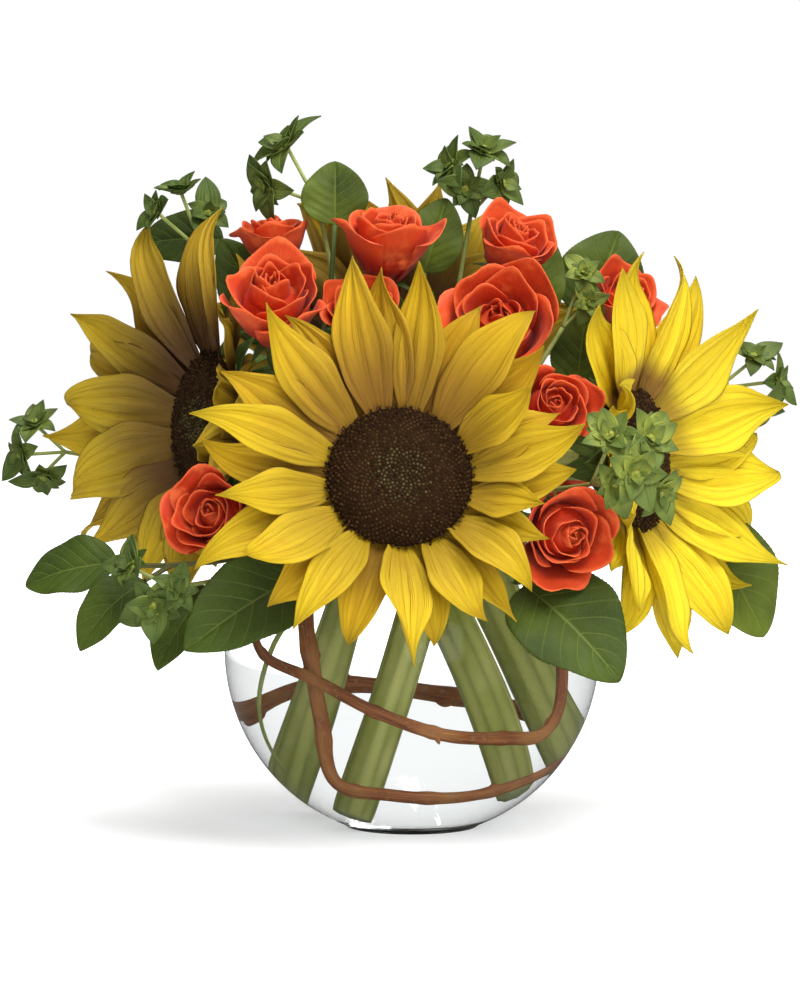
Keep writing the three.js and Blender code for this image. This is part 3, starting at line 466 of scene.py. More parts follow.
def curve_points(places, number):
    """Points at even distances along a smooth curve through the places."""
    given = [np.asarray(place, float) for place in places]
    ends = [2 * given[0] - given[1], *given, 2 * given[-1] - given[-2]]
    share = np.linspace(0, 1, 40, endpoint=False)[:, None]
    line = []
    for a, b, c, d in zip(ends, ends[1:], ends[2:], ends[3:]):
        before, here, after = (math.sqrt(np.linalg.norm(q - p)) for p, q in ((a, b), (b, c), (c, d)))
        leaving = ((b - a) / before - (c - a) / (before + here) + (c - b) / here) * here
        arriving = ((c - b) / here - (d - b) / (here + after) + (d - c) / after) * here
        line.append((2 * share**3 - 3 * share**2 + 1) * b + (share**3 - 2 * share**2 + share) * leaving
                    + (3 * share**2 - 2 * share**3) * c + (share**3 - share**2) * arriving)
    line = np.vstack([*line, given[-1][None]])
    gone = np.concatenate([[0], np.cumsum(np.linalg.norm(np.diff(line, axis=0), axis=1))])
    wanted = np.linspace(0, gone[-1], number)
    return np.column_stack([np.interp(wanted, gone, line[:, axis]) for axis in range(3)])


def nearest_ring(places, target, rings=9):
    """The place on a thin stem, at one of its rings, that is nearest to the one given."""
    line = curve_points(places, rings)
    return line[np.argmin(np.linalg.norm(line - np.asarray(target, float), axis=1))]


def bend_along(lift, curl, tip, along):
    """How far out and up a bent blade has gone at each share of its length, and its slope there."""
    fine = np.linspace(0, 1, 121)
    slope = lift + curl * fine + tip * smooth((fine - 0.62) / 0.38)
    middle = (slope[1:] + slope[:-1]) / 2
    out = np.concatenate([[0], np.cumsum(np.cos(middle))]) * fine[1]
    rise = np.concatenate([[0], np.cumsum(np.sin(middle))]) * fine[1]
    inside, before = np.clip(along, 0, 1), np.minimum(along, 0)
    return (np.interp(inside, fine, out) + before * math.cos(lift),
            np.interp(inside, fine, rise) + before * math.sin(lift), np.interp(inside, fine, slope))


# ---- patterns: shapes that are modelled once, and pieces that gather their laid copies ----
def start_clean():
    """Leaves edit mode and selects nothing."""
    if bpy.context.object and bpy.context.object.mode != "OBJECT":
        bpy.ops.object.mode_set(mode="OBJECT")
    bpy.ops.object.select_all(action="DESELECT")


class Pattern:
    """A modelled shape's points and faces. u and v are its places across and along, from 0 to 1."""

    def __init__(self, modelled, wraps=False):
        mesh = modelled.data
        self.points = np.empty(len(mesh.vertices) * 3)
        mesh.vertices.foreach_get("co", self.points)
        self.points = self.points.reshape(-1, 3)
        self.faces = [list(face.vertices) for face in mesh.polygons]
        x, y, z = self.points.T
        if wraps:
            low, high = z.min(), z.max()
            u, v = np.arctan2(y, x) / (2 * math.pi) % 1, (z - low) / (high - low)
        else:
            u, v = (x + 1) / 2, y
        corners = np.concatenate(self.faces)
        self.uv = np.column_stack([u[corners], v[corners]])
        if wraps:
            start = 0
            for face in self.faces:
                part = self.uv[start:start + len(face), 0]
                if part.max() - part.min() > 0.5:
                    part[part < 0.5] += 1
                start += len(face)
        bpy.data.objects.remove(modelled)


class Gathering:
    """Laid copies of patterns that together make one piece."""

    def __init__(self):
        self.points, self.faces, self.uvs, self.tints, self.finishes = [], [], [], [], []
        self.number = 0

    def add(self, pattern, points, tint=0.5, finish=0):
        """Adds one copy of a pattern with its points laid where they are given, in millimetres."""
        self.faces.extend([[corner + self.number for corner in face] for face in pattern.faces])
        self.points.append(points)
        self.uvs.append(pattern.uv)
        self.tints.append(np.full(len(points), float(tint)))
        self.finishes.extend([finish] * len(pattern.faces))
        self.number += len(points)

    def piece(self, name, node, slot, finishes):
        """Makes the piece, which rides on the body and stands for its node."""
        mesh = bpy.data.meshes.new(name)
        mesh.from_pydata((np.vstack(self.points) * MM).tolist(), [], self.faces)
        uvs = np.vstack(self.uvs).astype(np.float32)
        mesh.uv_layers.new(name="UVMap").data.foreach_set("uv", uvs.ravel())
        tint = mesh.attributes.new("tint", "FLOAT", "POINT")
        tint.data.foreach_set("value", np.concatenate(self.tints).astype(np.float32))
        for finish in finishes:
            mesh.materials.append(finish)
        mesh.polygons.foreach_set("material_index", self.finishes)
        piece = bpy.data.objects.new(name, mesh)
        bpy.context.scene.collection.objects.link(piece)
        start_clean()
        bpy.context.view_layer.objects.active = piece
        piece.select_set(True)
        bpy.ops.object.mode_set(mode="EDIT")
        bpy.ops.mesh.select_all(action="SELECT")
        bpy.ops.mesh.normals_make_consistent(inside=False)
        bpy.ops.object.mode_set(mode="OBJECT")
        bpy.ops.object.shade_smooth()
        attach(piece, "root")
        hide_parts(node)


def model_blade(across, along):
    """A flat blade: x runs from -1 to 1 across it, y from 0 to 1 along it, z from -1 on its back to 1."""
    start_clean()
    bpy.ops.mesh.primitive_grid_add(x_subdivisions=across, y_subdivisions=along, size=2, location=(0, 0, 0))
    blade = bpy.context.object
    bpy.ops.object.mode_set(mode="EDIT")
    bpy.ops.mesh.select_all(action="SELECT")
    bpy.ops.transform.resize(value=(1, 0.5, 1))
    bpy.ops.transform.translate(value=(0, 0.5, 0))
    bpy.ops.object.mode_set(mode="OBJECT")
    body = blade.modifiers.new("body", "SOLIDIFY")
    body.thickness = 2
    body.offset = 0
    bpy.ops.object.modifier_apply(modifier="body")
    return Pattern(blade)


def model_rod(sides, steps):
    """A straight closed rod of radius 1 whose z runs from 0 to 1 in even steps."""
    start_clean()
    bpy.ops.mesh.primitive_circle_add(vertices=sides, radius=1, fill_type="TRIFAN", location=(0, 0, 0))
    rod = bpy.context.object
    bpy.ops.object.mode_set(mode="EDIT")
    bpy.ops.mesh.select_all(action="SELECT")
    for _ in range(steps):
        bpy.ops.mesh.extrude_region_move(TRANSFORM_OT_translate={"value": (0, 0, 1 / steps)})
    bpy.ops.object.mode_set(mode="OBJECT")
    return Pattern(rod, wraps=True)


def model_bud():
    """A small five-sided bud of height 1 with a pinched point."""
    start_clean()
    bpy.ops.mesh.primitive_cone_add(
        vertices=5, radius1=0.8, radius2=0.95, depth=0.55, end_fill_type="TRIFAN", location=(0, 0, 0.275))
    bud = bpy.context.object
    bpy.ops.object.mode_set(mode="EDIT")
    bpy.ops.mesh.select_all(action="DESELECT")
    bpy.ops.object.mode_set(mode="OBJECT")
    for vertex in bud.data.vertices:
        vertex.select = vertex.co.z > 0.5 and math.hypot(vertex.co.x, vertex.co.y) < 0.1
    bpy.ops.object.mode_set(mode="EDIT")
    bpy.ops.transform.translate(value=(0, 0, 0.45))
    bpy.ops.object.mode_set(mode="OBJECT")
    return Pattern(bud, wraps=True)


def spin_profile(profile, steps):
    """A closed body turned round Z from a profile of (reach, height) whose ends lie on the axis."""
    start_clean()
    mesh = bpy.data.meshes.new("profile")
    places = [(reach, 0, height) for reach, height in profile]
    mesh.from_pydata(places, [(i, i + 1) for i in range(len(places) - 1)], [])
    turned = bpy.data.objects.new("profile", mesh)
    bpy.context.scene.collection.objects.link(turned)
    bpy.context.view_layer.objects.active = turned
    turned.select_set(True)
    bpy.ops.object.mode_set(mode="EDIT")
    bpy.ops.mesh.select_all(action="SELECT")
    bpy.ops.mesh.spin(steps=steps, angle=2 * math.pi, center=(0, 0, 0), axis=(0, 0, 1))
    bpy.ops.mesh.select_all(action="SELECT")
    bpy.ops.mesh.remove_doubles(threshold=1e-6)
    bpy.ops.mesh.normals_make_consistent(inside=False)
    bpy.ops.object.mode_set(mode="OBJECT")
    return Pattern(turned, wraps=True)


def arc(centre, radius, start, end, steps):
    """Points (reach, height) on a circle, between two angles above the horizon."""
    angles = np.linspace(start, end, steps)
    return [(centre[0] + radius * math.cos(a), centre[1] + radius * math.sin(a)) for a in angles]


# ---- how patterns are laid ----
def lay_rod(rod, places, radii, ribs=0, rib_depth=0.0, swell=None):
    """A rod laid along a smooth curve through the places, with lengthwise ribs and swellings if wanted."""
    x, y, along = rod.points.T
    line = curve_points(places, CURVE_STEPS + 1)
    tangent = np.gradient(line, axis=0)
    tangent /= np.linalg.norm(tangent, axis=1)[:, None]
    start = UPRIGHT if abs(tangent[0][2]) < 0.9 else np.array([1.0, 0.0, 0.0])
    normals = [unit(np.cross(tangent[0], start))]
    for heading in tangent[1:]:
        last = normals[-1]
        normals.append(unit(last - heading * np.dot(last, heading)))
    normals = np.array(normals)
    binormals = np.cross(tangent, normals)
    place = along * (len(line) - 1)
    low = np.clip(place.astype(int), 0, len(line) - 2)
    part = (place - low)[:, None]
    centre, normal, binormal = (
        blend(rows[low], rows[low + 1], part) for rows in (line, normals, binormals))
    radius = blend(radii[0], radii[1], along)
    if ribs:
        radius = radius * (1 + rib_depth * np.cos(np.arctan2(y, x) * ribs))
    if swell is not None:
        radius = radius * swell(along, np.arctan2(y, x))
    return centre + normal * (x * radius)[:, None] + binormal * (y * radius)[:, None]


def lay_blade(azimuth, start, reach, bend, side, rise):
    """Points of a blade that leaves an axis at an azimuth.

    Start is its root's reach and height, and bend is its way out and up and its slope. Side is how far each
    point lies across the blade, and rise how high above it.
    """
    out, up, slope = bend
    outward, sideways = around(azimuth)
    return ((start[0] + reach * out)[:, None] * outward + side[:, None] * sideways
            + (start[1] + reach * up)[:, None] * UPRIGHT
            + rise[:, None] * (np.cos(slope)[:, None] * UPRIGHT - np.sin(slope)[:, None] * outward))


def lay_bud(bud, root, axes, width, height):
    """A bud that stands on its root, with the directions of its own x, y and z."""
    x, y, z = bud.points.T
    return (root + (x * width)[:, None] * axes[0] + (y * width)[:, None] * axes[1]
            + (z * height)[:, None] * axes[2])


def lay_ray(blade, ray, width, root_height, sizes, seed):
    """A ray petal laid out from the head. It lifts, curls, cups and pleats, and its tip turns freely."""
    azimuth, reach, lift, curl, sway = ray
    across, along, depth = blade.points.T
    buried = 0.07
    along = along * (1 + buried) - buried
    inside = np.clip(along, 0, 1)
    edge = np.abs(across)
    width = width * (0.5 + 0.5 * min(1, reach / 56)) * (0.90 + 0.20 * draw(seed, 13))
    reach = reach * (1 + spread(seed, 8, 0.05))
    # The outline lies between a slender flame and a full oval, and its edges are a little ragged.
    fullness = blend(0.28, 0.74, draw(seed, 11))
    flame = fullness * (1 - inside**4.2) + (1 - fullness) * (1 - smooth((inside - 0.42) / 0.58))
    outline = flame * (0.44 + 0.56 * np.sin(np.clip(inside / 0.44, 0, 1) * math.pi / 2))
    ragged = 1 + 0.05 * np.sin(inside * 15 + seed * 2.1 + across) * edge**5
    half = np.maximum(width / 2 * outline * ragged, 0.2)
    slimness = half / (width / 2)
    # Ribs, pleats, wavy edges and a cup stand up from the blade, less so where it is slim.
    rib_wave = np.cos(across * math.pi * sizes.ribs)
    ribs = sizes.rib_depth / MM * rib_wave * (1 - edge**4) * smooth(inside * 8)
    pleat_count = 2.2 + 1.4 * draw(seed, 5)
    pleats = sizes.pleat * half * np.cos(across * math.pi * pleat_count + spread(seed, 6, 1.2))
    pleats = pleats * (1 - edge**3) * smooth(inside * 3)
    wave = spread(seed, 1, 1.7) * np.sin(inside * 7 + seed) * edge**2 * np.sign(across) * smooth(inside * 3)
    rolled_in = 1.3 if draw(seed, 12) > 0.8 else 0.0
    cup = sizes.cup * (0.45 + 1.1 * draw(seed, 7) + rolled_in * inside**1.5)
    rise = cup * half * edge**1.3 + (ribs + wave) * np.minimum(slimness, 1) + pleats
    body = sizes.thickness / MM / 2 * (1 - 0.72 * edge**3) * (1 - 0.5 * inside**2)
    # The blade turns about its own length, then bends and drifts aside along it.
    roll = sizes.tilt + spread(seed, 2, 0.16) + spread(seed, 3, sizes.twist) * inside**2
    side, rise = half * across, rise + body * depth
    side, rise = side * np.cos(roll) - rise * np.sin(roll), side * np.sin(roll) + rise * np.cos(roll)
    tip = spread(seed, 4, sizes.tip_curl)
    bend = bend_along(math.radians(lift), math.radians(curl), tip, along)
    drift = (sway + spread(seed, 9, 0.07)) * inside**2 + spread(seed, 10, 0.09) * inside**4
    start = (sizes.root_radius / MM, root_height)
    return lay_blade(math.radians(azimuth), start, reach, bend, side + reach * drift, rise)


def lay_bract(blade, azimuth, start, reach, width, lift, curl, thickness, cup, fullest):
    """A pointed bract or sepal laid out from an axis: start is its root's reach and height."""
    across, along, depth = blade.points.T
    outline = np.sin(math.pi * np.clip(along, 0, 1) ** (math.log(0.5) / math.log(fullest))) ** 0.9
    outline = np.where(along < fullest, np.maximum(outline, 0.45), outline)
    half = np.maximum(width / 2 * outline, 0.12)
    rise = cup * half * np.abs(across) ** 1.6 - 0.12 * half * np.exp(-((across / 0.15) ** 2))
    rise = rise + thickness / 2 * depth * (1 - 0.6 * np.abs(across) ** 3)
    return lay_blade(azimuth, start, reach, bend_along(lift, curl, 0.0, along), half * across, rise)


def lay_rose_petal(blade, order, radius, turn, sizes, seed):
    """One petal of a rose, wound round its cup. Order 0 is the innermost, and the outer ones roll back."""
    across, along, depth = blade.points.T
    place = order / (sizes.petals - 1)
    edge = np.abs(across)
    # The rim is rounded with a slight point. Inner petals close over the heart, outer ones roll back.
    point = 0.08 * np.exp(-((across / 0.25) ** 2)) * along**5 * place
    climb = along * (1 - 0.24 * edge**2.4) + point
    rim = radius * (0.10 + 0.88 * place**1.22) * (1 + spread(seed, order + 90, 0.05 * place))
    root = radius * blend(0.06, 0.32, place)
    closing = 0.45 * (1 - place) ** 2 * smooth((climb - 0.62) / 0.4)
    rolled = smooth((climb - blend(0.95, 0.70, place)) / 0.30)
    loose = 1 + place * blend(-0.6, 0.50, draw(seed, order + 110))
    opening = (0.14 + 0.14 * edge**2) * place**1.3 * rolled * loose
    reach = root + (rim - root) * np.sin(np.clip(climb, 0, 1) * math.pi / 2) ** 0.9
    reach = reach * (1 - closing) + radius * opening
    reach = reach * (1 + blend(0.13, 0.07, place) * across)
    top = radius * (blend(0.05, -0.02, place) + spread(seed, order, 0.07))
    bottom = -sizes.depth * radius * blend(0.80, 0.99, place)
    droop = radius * (0.08 + 0.26 * edge**2) * place**1.2 * rolled * loose
    height = bottom + (top - bottom) * climb - droop
    # The rim flutters, and the petal winds round the cup, whose middle stands a little aside.
    waves = 1.3 + draw(seed, order + 70)
    flutter = np.sin(across * math.pi * waves + spread(seed, order + 60, 3)) * climb**5
    height = height + radius * 0.045 * flutter
    reach = reach + radius * 0.050 * flutter * blend(0.3, 1.0, place)
    half_angle = math.radians(blend(115, 54, place**0.6))
    reach = reach + depth * sizes.thickness / MM / 2 * (1 - 0.5 * edge**3)
    azimuth = turn + order * ROSE_SPIRAL + spread(seed, order + 30, 0.25) + across * half_angle
    aside = radius * 0.12 * np.sin(place * math.pi) * np.clip(climb, 0, 1)
    heading = 6.3 * draw(seed, 140) + order * 0.5
    return np.column_stack([reach * np.sin(azimuth) + aside * math.sin(heading),
                            reach * np.cos(azimuth) + aside * math.cos(heading), height])


def lay_leaf(blade, leaf, sizes, seed):
    """A broad leaf: folded at its midrib, waved and finely toothed at its edges, quilted between veins."""
    across, along, depth = blade.points.T
    foot, tip = (np.asarray(place, float) for place in (leaf["stalk"][-1], leaf["tip"]))
    run = tip - foot
    sideways = unit(np.cross(run, leaf["faces"]))
    normal = unit(np.cross(sideways, run))
    inside = np.clip(along, 0, 1)
    outline = np.sin(math.pi * np.clip(inside, 1e-6, 1) ** 0.74) ** 0.66
    teeth = 1 + 0.018 * (1 - np.abs(inside * 26 % 1 - 0.5) * 2) * np.abs(across) ** 8
    half = np.maximum(leaf["width"] / 2 * outline * teeth, 0.35)
    edge = np.abs(across)
    # The skin is quilted between the side veins, and the midrib is a groove.
    wave = sizes.leaf_wave * half * np.cos(math.pi * (inside - 0.32) / 0.235) * across * edge
    vein = (inside - 0.30 * edge) * sizes.vein_pairs
    quilt = 0.45 * np.abs(np.sin(vein * math.pi)) ** 0.7
    quilt = quilt * smooth(edge * 5) * smooth((1 - edge) * 4) * smooth((1 - inside) * 6)
    midrib = -0.45 * np.exp(-((across * half / 0.9) ** 2))
    rise = sizes.leaf_fold * half * edge**1.2 + wave + quilt * half / leaf["width"] * 2 + midrib
    rise = rise + sizes.leaf_thickness / MM / 2 * depth * (1 - 0.6 * edge**3)
    rise = rise + leaf["arch"] * np.sin(math.pi * inside) + spread(seed, 1, 1.2) * inside**3 * edge
    return foot + along[:, None] * run + (half * across)[:, None] * sideways + rise[:, None] * normal


def disc_height(share, sizes):
    """The disc's height at a share of its radius, in millimetres: a dome with a dent in its middle."""
    rim_height = 1.2
    dome, dent = sizes.dome / MM, sizes.dent / MM
    return rim_height + dome * (1 - share**2.6) - dent * np.exp(-((share / 0.3) ** 2))


# ---- node groups and finishes ----
def new_group(name, inputs, outputs):
    """An empty shader node group with float sockets, and its input and output nodes."""
    group = bpy.data.node_groups.new(name, "ShaderNodeTree")
    for label, value in inputs:
        socket = group.interface.new_socket(label, in_out="INPUT", socket_type="NodeSocketFloat")
        socket.default_value = value
    for label in outputs:
        group.interface.new_socket(label, in_out="OUTPUT", socket_type="NodeSocketFloat")
    return group, group.nodes.new("NodeGroupInput"), group.nodes.new("NodeGroupOutput")


def maths(tree, operation, first, second=None, third=None, clamp=False):
    """A Math node's result. Each value is a number or a socket."""
    node = tree.nodes.new("ShaderNodeMath")
    node.operation = operation
    node.use_clamp = clamp
    for socket, value in zip(node.inputs, (first, second, third)):
        feed(tree, socket, value)
    return node.outputs[0]


def feed(tree, socket, value):
    """Links a socket or sets a plain value."""
    if isinstance(value, bpy.types.NodeSocket):
        tree.links.new(value, socket)
    elif value is not None:
        socket.default_value = value


def mottling_group():
    """Soft blotches on the piece's own coordinates, as a mask from 0 to 1."""
    group, given, result = new_group(
        "mottling", [("Scale", 60.0), ("Detail", 3.0), ("Contrast", 1.0)], ["Mask"])
    place = group.nodes.new("ShaderNodeTexCoord")
    noise = group.nodes.new("ShaderNodeTexNoise")
    group.links.new(place.outputs["Object"], noise.inputs["Vector"])
    group.links.new(given.outputs["Scale"], noise.inputs["Scale"])
    group.links.new(given.outputs["Detail"], noise.inputs["Detail"])
    centred = maths(group, "SUBTRACT", noise.outputs["Fac"], 0.5)
    mask = maths(group, "MULTIPLY_ADD", centred, given.outputs["Contrast"], 0.5, clamp=True)
    group.links.new(mask, result.inputs["Mask"])
    return group


def surface_place(tree):
    """The sockets for a piece's place across and along, from 0 to 1."""
    uv = tree.nodes.new("ShaderNodeUVMap")
    uv.uv_map = "UVMap"
    split = tree.nodes.new("ShaderNodeSeparateXYZ")
    tree.links.new(uv.outputs["UV"], split.inputs["Vector"])
    return split.outputs["X"], split.outputs["Y"]


def ribs_group():
    """Lengthwise ribs that wander a little, as a height from 0 in the grooves to 1 on the ribs."""
    group, given, result = new_group(
        "lengthwise_ribs", [("Count", 12.0), ("Wander", 0.4), ("Sharpness", 1.0)], ["Height"])
    across, along = surface_place(group)
    stretched = group.nodes.new("ShaderNodeCombineXYZ")
    group.links.new(maths(group, "MULTIPLY", across, 6.0), stretched.inputs["X"])
    group.links.new(maths(group, "MULTIPLY", along, 3.0), stretched.inputs["Y"])
    noise = group.nodes.new("ShaderNodeTexNoise")
    noise.inputs["Scale"].default_value = 1.0
    group.links.new(stretched.outputs["Vector"], noise.inputs["Vector"])
    centred = maths(group, "SUBTRACT", noise.outputs["Fac"], 0.5)
    drift = maths(group, "MULTIPLY", centred, given.outputs["Wander"])
    turns = maths(group, "MULTIPLY", maths(group, "ADD", across, drift), given.outputs["Count"])
    ridge = maths(group, "ABSOLUTE", maths(group, "SINE", maths(group, "MULTIPLY", turns, math.pi)))
    group.links.new(maths(group, "POWER", ridge, given.outputs["Sharpness"]), result.inputs["Height"])
    return group


def veins_group():
    """A midrib with slanted side veins and a fine net between them, as a mask that is 1 on a vein."""
    group, given, result = new_group(
        "leaf_veins", [("Pairs", 7.0), ("Slant", 0.3), ("Width", 0.1), ("Net", 0.3)], ["Mask"])
    across, along = surface_place(group)
    edge = maths(group, "MULTIPLY", maths(group, "ABSOLUTE", maths(group, "SUBTRACT", across, 0.5)), 2.0)
    run = maths(group, "SUBTRACT", along, maths(group, "MULTIPLY", edge, given.outputs["Slant"]))
    turns = maths(group, "MULTIPLY", run, given.outputs["Pairs"])
    phase = maths(group, "FRACT", maths(group, "ADD", turns, 50.5))
    nearness = maths(group, "ABSOLUTE", maths(group, "SUBTRACT", phase, 0.5))
    widths = maths(group, "DIVIDE", nearness, given.outputs["Width"])
    side = maths(group, "SUBTRACT", 1.0, widths, clamp=True)
    fading = maths(group, "SUBTRACT", 1.0, maths(group, "MULTIPLY", edge, 0.75))
    faded = maths(group, "MULTIPLY", side, fading)
    midrib = maths(group, "SUBTRACT", 1.0, maths(group, "MULTIPLY", edge, 26.0), clamp=True)
    place = group.nodes.new("ShaderNodeTexCoord")
    net = group.nodes.new("ShaderNodeTexVoronoi")
    net.feature = "DISTANCE_TO_EDGE"
    net.inputs["Scale"].default_value = 480
    group.links.new(place.outputs["Object"], net.inputs["Vector"])
    mesh = maths(group, "SUBTRACT", 1.0, maths(group, "MULTIPLY", net.outputs["Distance"], 9.0), clamp=True)
    fine = maths(group, "MULTIPLY", mesh, given.outputs["Net"])
    coarse = maths(group, "MAXIMUM", faded, midrib)
    group.links.new(maths(group, "MAXIMUM", coarse, fine), result.inputs["Mask"])
    return group


class Finish:
    """One material under construction: its tree, its shader and the usual inputs."""

    def __init__(self, name, roughness, specular=0.5):
        self.material = bpy.data.materials.new(name)
        self.material.use_nodes = True
        self.tree = self.material.node_tree
        self.shader = self.tree.nodes["Principled BSDF"]
        self.shader.inputs["Roughness"].default_value = roughness
        self.shader.inputs["Specular IOR Level"].default_value = specular

    def group(self, build, name, **values):
        """One of the shared node groups, placed with its own values."""
        node = self.tree.nodes.new("ShaderNodeGroup")
        node.node_tree = bpy.data.node_groups.get(name) or build()
        for label, value in values.items():
            feed(self.tree, node.inputs[label], value)
        return node.outputs[0]

    def mottling(self, **values):
        """Soft blotches."""
        return self.group(mottling_group, "mottling", **values)

    def ribs(self, **values):
        """Lengthwise ribs."""
        return self.group(ribs_group, "lengthwise_ribs", **values)

    def veins(self, **values):
        """Leaf veins."""
        return self.group(veins_group, "leaf_veins", **values)

    def maths(self, operation, *values, clamp=False):
        """A Math node's result."""
        return maths(self.tree, operation, *values, clamp=clamp)

    def tint(self):
        """The number from 0 to 1 that each laid copy has of its own."""
        node = self.tree.nodes.new("ShaderNodeAttribute")
        node.attribute_name = "tint"
        return node.outputs["Fac"]

    def mix(self, factor, first, second):
        """A mix of two colours, each a colour or a socket."""
        node = self.tree.nodes.new("ShaderNodeMix")
        node.data_type = "RGBA"
        feed(self.tree, node.inputs["Factor"], factor)
        for label, value in (("A", first), ("B", second)):
            socket = [s for s in node.inputs if s.name == label and s.type == "RGBA"][0]
            feed(self.tree, socket, value if isinstance(value, bpy.types.NodeSocket) else (*value, 1.0))
        return [s for s in node.outputs if s.type == "RGBA"][0]

    def band(self, value, start, end):
        """A mask that goes smoothly from 0 at start to 1 at end."""
        node = self.tree.nodes.new("ShaderNodeMapRange")
        node.interpolation_type = "SMOOTHSTEP"
        feed(self.tree, node.inputs["Value"], value)
        node.inputs["From Min"].default_value = min(start, end)
        node.inputs["From Max"].default_value = max(start, end)
        node.inputs["To Min"].default_value = 0.0 if start < end else 1.0
        node.inputs["To Max"].default_value = 1.0 if start < end else 0.0
        return node.outputs["Result"]

    def colour(self, socket):
        """Feeds the shader's colour."""
        self.tree.links.new(socket, self.shader.inputs["Base Color"])

    def rough(self, socket, low, high):
        """Feeds the shader's roughness from a mask."""
        roughness = self.maths("MULTIPLY_ADD", socket, high - low, low)
        feed(self.tree, self.shader.inputs["Roughness"], roughness)

    def relief(self, height, distance, strength):
        """Feeds the shader's normal from a height."""
        node = self.tree.nodes.new("ShaderNodeBump")
        node.inputs["Distance"].default_value = distance
        node.inputs["Strength"].default_value = strength
        self.tree.links.new(height, node.inputs["Height"])
        self.tree.links.new(node.outputs["Normal"], self.shader.inputs["Normal"])

    def glow_through(self, colour_socket, share_through):
        """Lets some light come through a thin petal or leaf."""
        through = self.tree.nodes.new("ShaderNodeBsdfTranslucent")
        feed(self.tree, through.inputs["Color"], colour_socket)
        self.mix_shader(through, share_through)

    def clear_shadow(self, tint):
        """Lets the lamps' light straight through clear glass or water, which would cast a dark shadow."""
        path = self.tree.nodes.new("ShaderNodeLightPath")
        clear = self.tree.nodes.new("ShaderNodeBsdfTransparent")
        clear.inputs["Color"].default_value = (*tint, 1.0)
        self.mix_shader(clear, path.outputs["Is Shadow Ray"])

    def mix_shader(self, other, factor):
        """Mixes another shader in before the surface."""
        both = self.tree.nodes.new("ShaderNodeMixShader")
        feed(self.tree, both.inputs["Fac"], factor)
        self.tree.links.new(self.shader.outputs[0], both.inputs[1])
        self.tree.links.new(other.outputs[0], both.inputs[2])
        self.tree.links.new(both.outputs[0], self.tree.nodes["Material Output"].inputs["Surface"])


def clear_finish(name, ior, sheen, tint, shadow):
    """Polished glass or still water. Its straight reflections are weakened, as rays meet both in turn."""
    finish = Finish(name, 0.0)
    finish.shader.inputs["Specular Tint"].default_value = (sheen, sheen, sheen, 1.0)
    finish.shader.inputs["Base Color"].default_value = (*tint, 1.0)
    finish.shader.inputs["Transmission Weight"].default_value = 1.0
    finish.shader.inputs["IOR"].default_value = ior
    finish.clear_shadow(shadow)
    return finish.material


def ray_petal_finish(name, yellow, gold, root_colour, root_end, root_strength):
    """Bright yellow and finely ribbed, with painted shade in the grooves and golden brown painted shade at
    the root. Shaded copies are more golden and browner.
    """
    finish = Finish(name, 0.55, 0.3)
    _, along = surface_place(finish.tree)
    groove_shade = (0.60, 0.37, 0.010)
    hidden_root = 0.16
    ribs = finish.ribs(Count=8.0, Wander=0.12, Sharpness=0.6)
    fine = finish.ribs(Count=41.0, Wander=0.06, Sharpness=1.0)
    golden = finish.mix(finish.tint(), yellow, gold)
    # The grooves between the ribs are darkened towards gold: painted shade.
    grooves = finish.maths("MULTIPLY_ADD", ribs, -0.34, 0.36, clamp=True)
    lined = finish.mix(grooves, golden, groove_shade)
    blotches = finish.band(finish.mottling(Scale=70.0, Contrast=2.2), 0.5, 1.0)
    blotched = finish.mix(finish.maths("MULTIPLY", blotches, 0.55), lined, gold)
    # The root is painted golden brown as shade near the disc, more strongly where the tint is higher.
    strength = finish.maths("MULTIPLY_ADD", finish.tint(), 0.85, root_strength, clamp=True)
    root_mask = finish.maths("MULTIPLY", finish.band(along, root_end, hidden_root), strength)
    root = finish.mix(root_mask, blotched, root_colour)
    finish.colour(root)
    height = finish.maths("MULTIPLY_ADD", fine, 0.35, ribs)
    finish.relief(height, 0.0006, 0.9)
    finish.glow_through(root, 0.2)
    return finish.material


def floret_finish(colours):
    """Nearly black florets with gold specks of pollen on their tips."""
    finish = Finish("floret", 0.9, 0.08)
    _, along = surface_place(finish.tree)
    warm_black = (0.026, 0.011, 0.003)
    husk = finish.mix(finish.mottling(Scale=900.0, Contrast=2.0), colours.floret, warm_black)
    tips = finish.band(along, 0.45, 0.95)
    specks = finish.maths("MULTIPLY", tips, finish.band(finish.tint(), 0.05, 1.05))
    finish.colour(finish.mix(specks, husk, colours.pollen))
    return finish.material


def closed_floret_finish(colours):
    """Grey green buds in the disc's middle."""
    finish = Finish("closed_floret", 0.9, 0.05)
    finish.colour(finish.mix(finish.tint(), colours.floret, colours.disc_middle))
    return finish.material


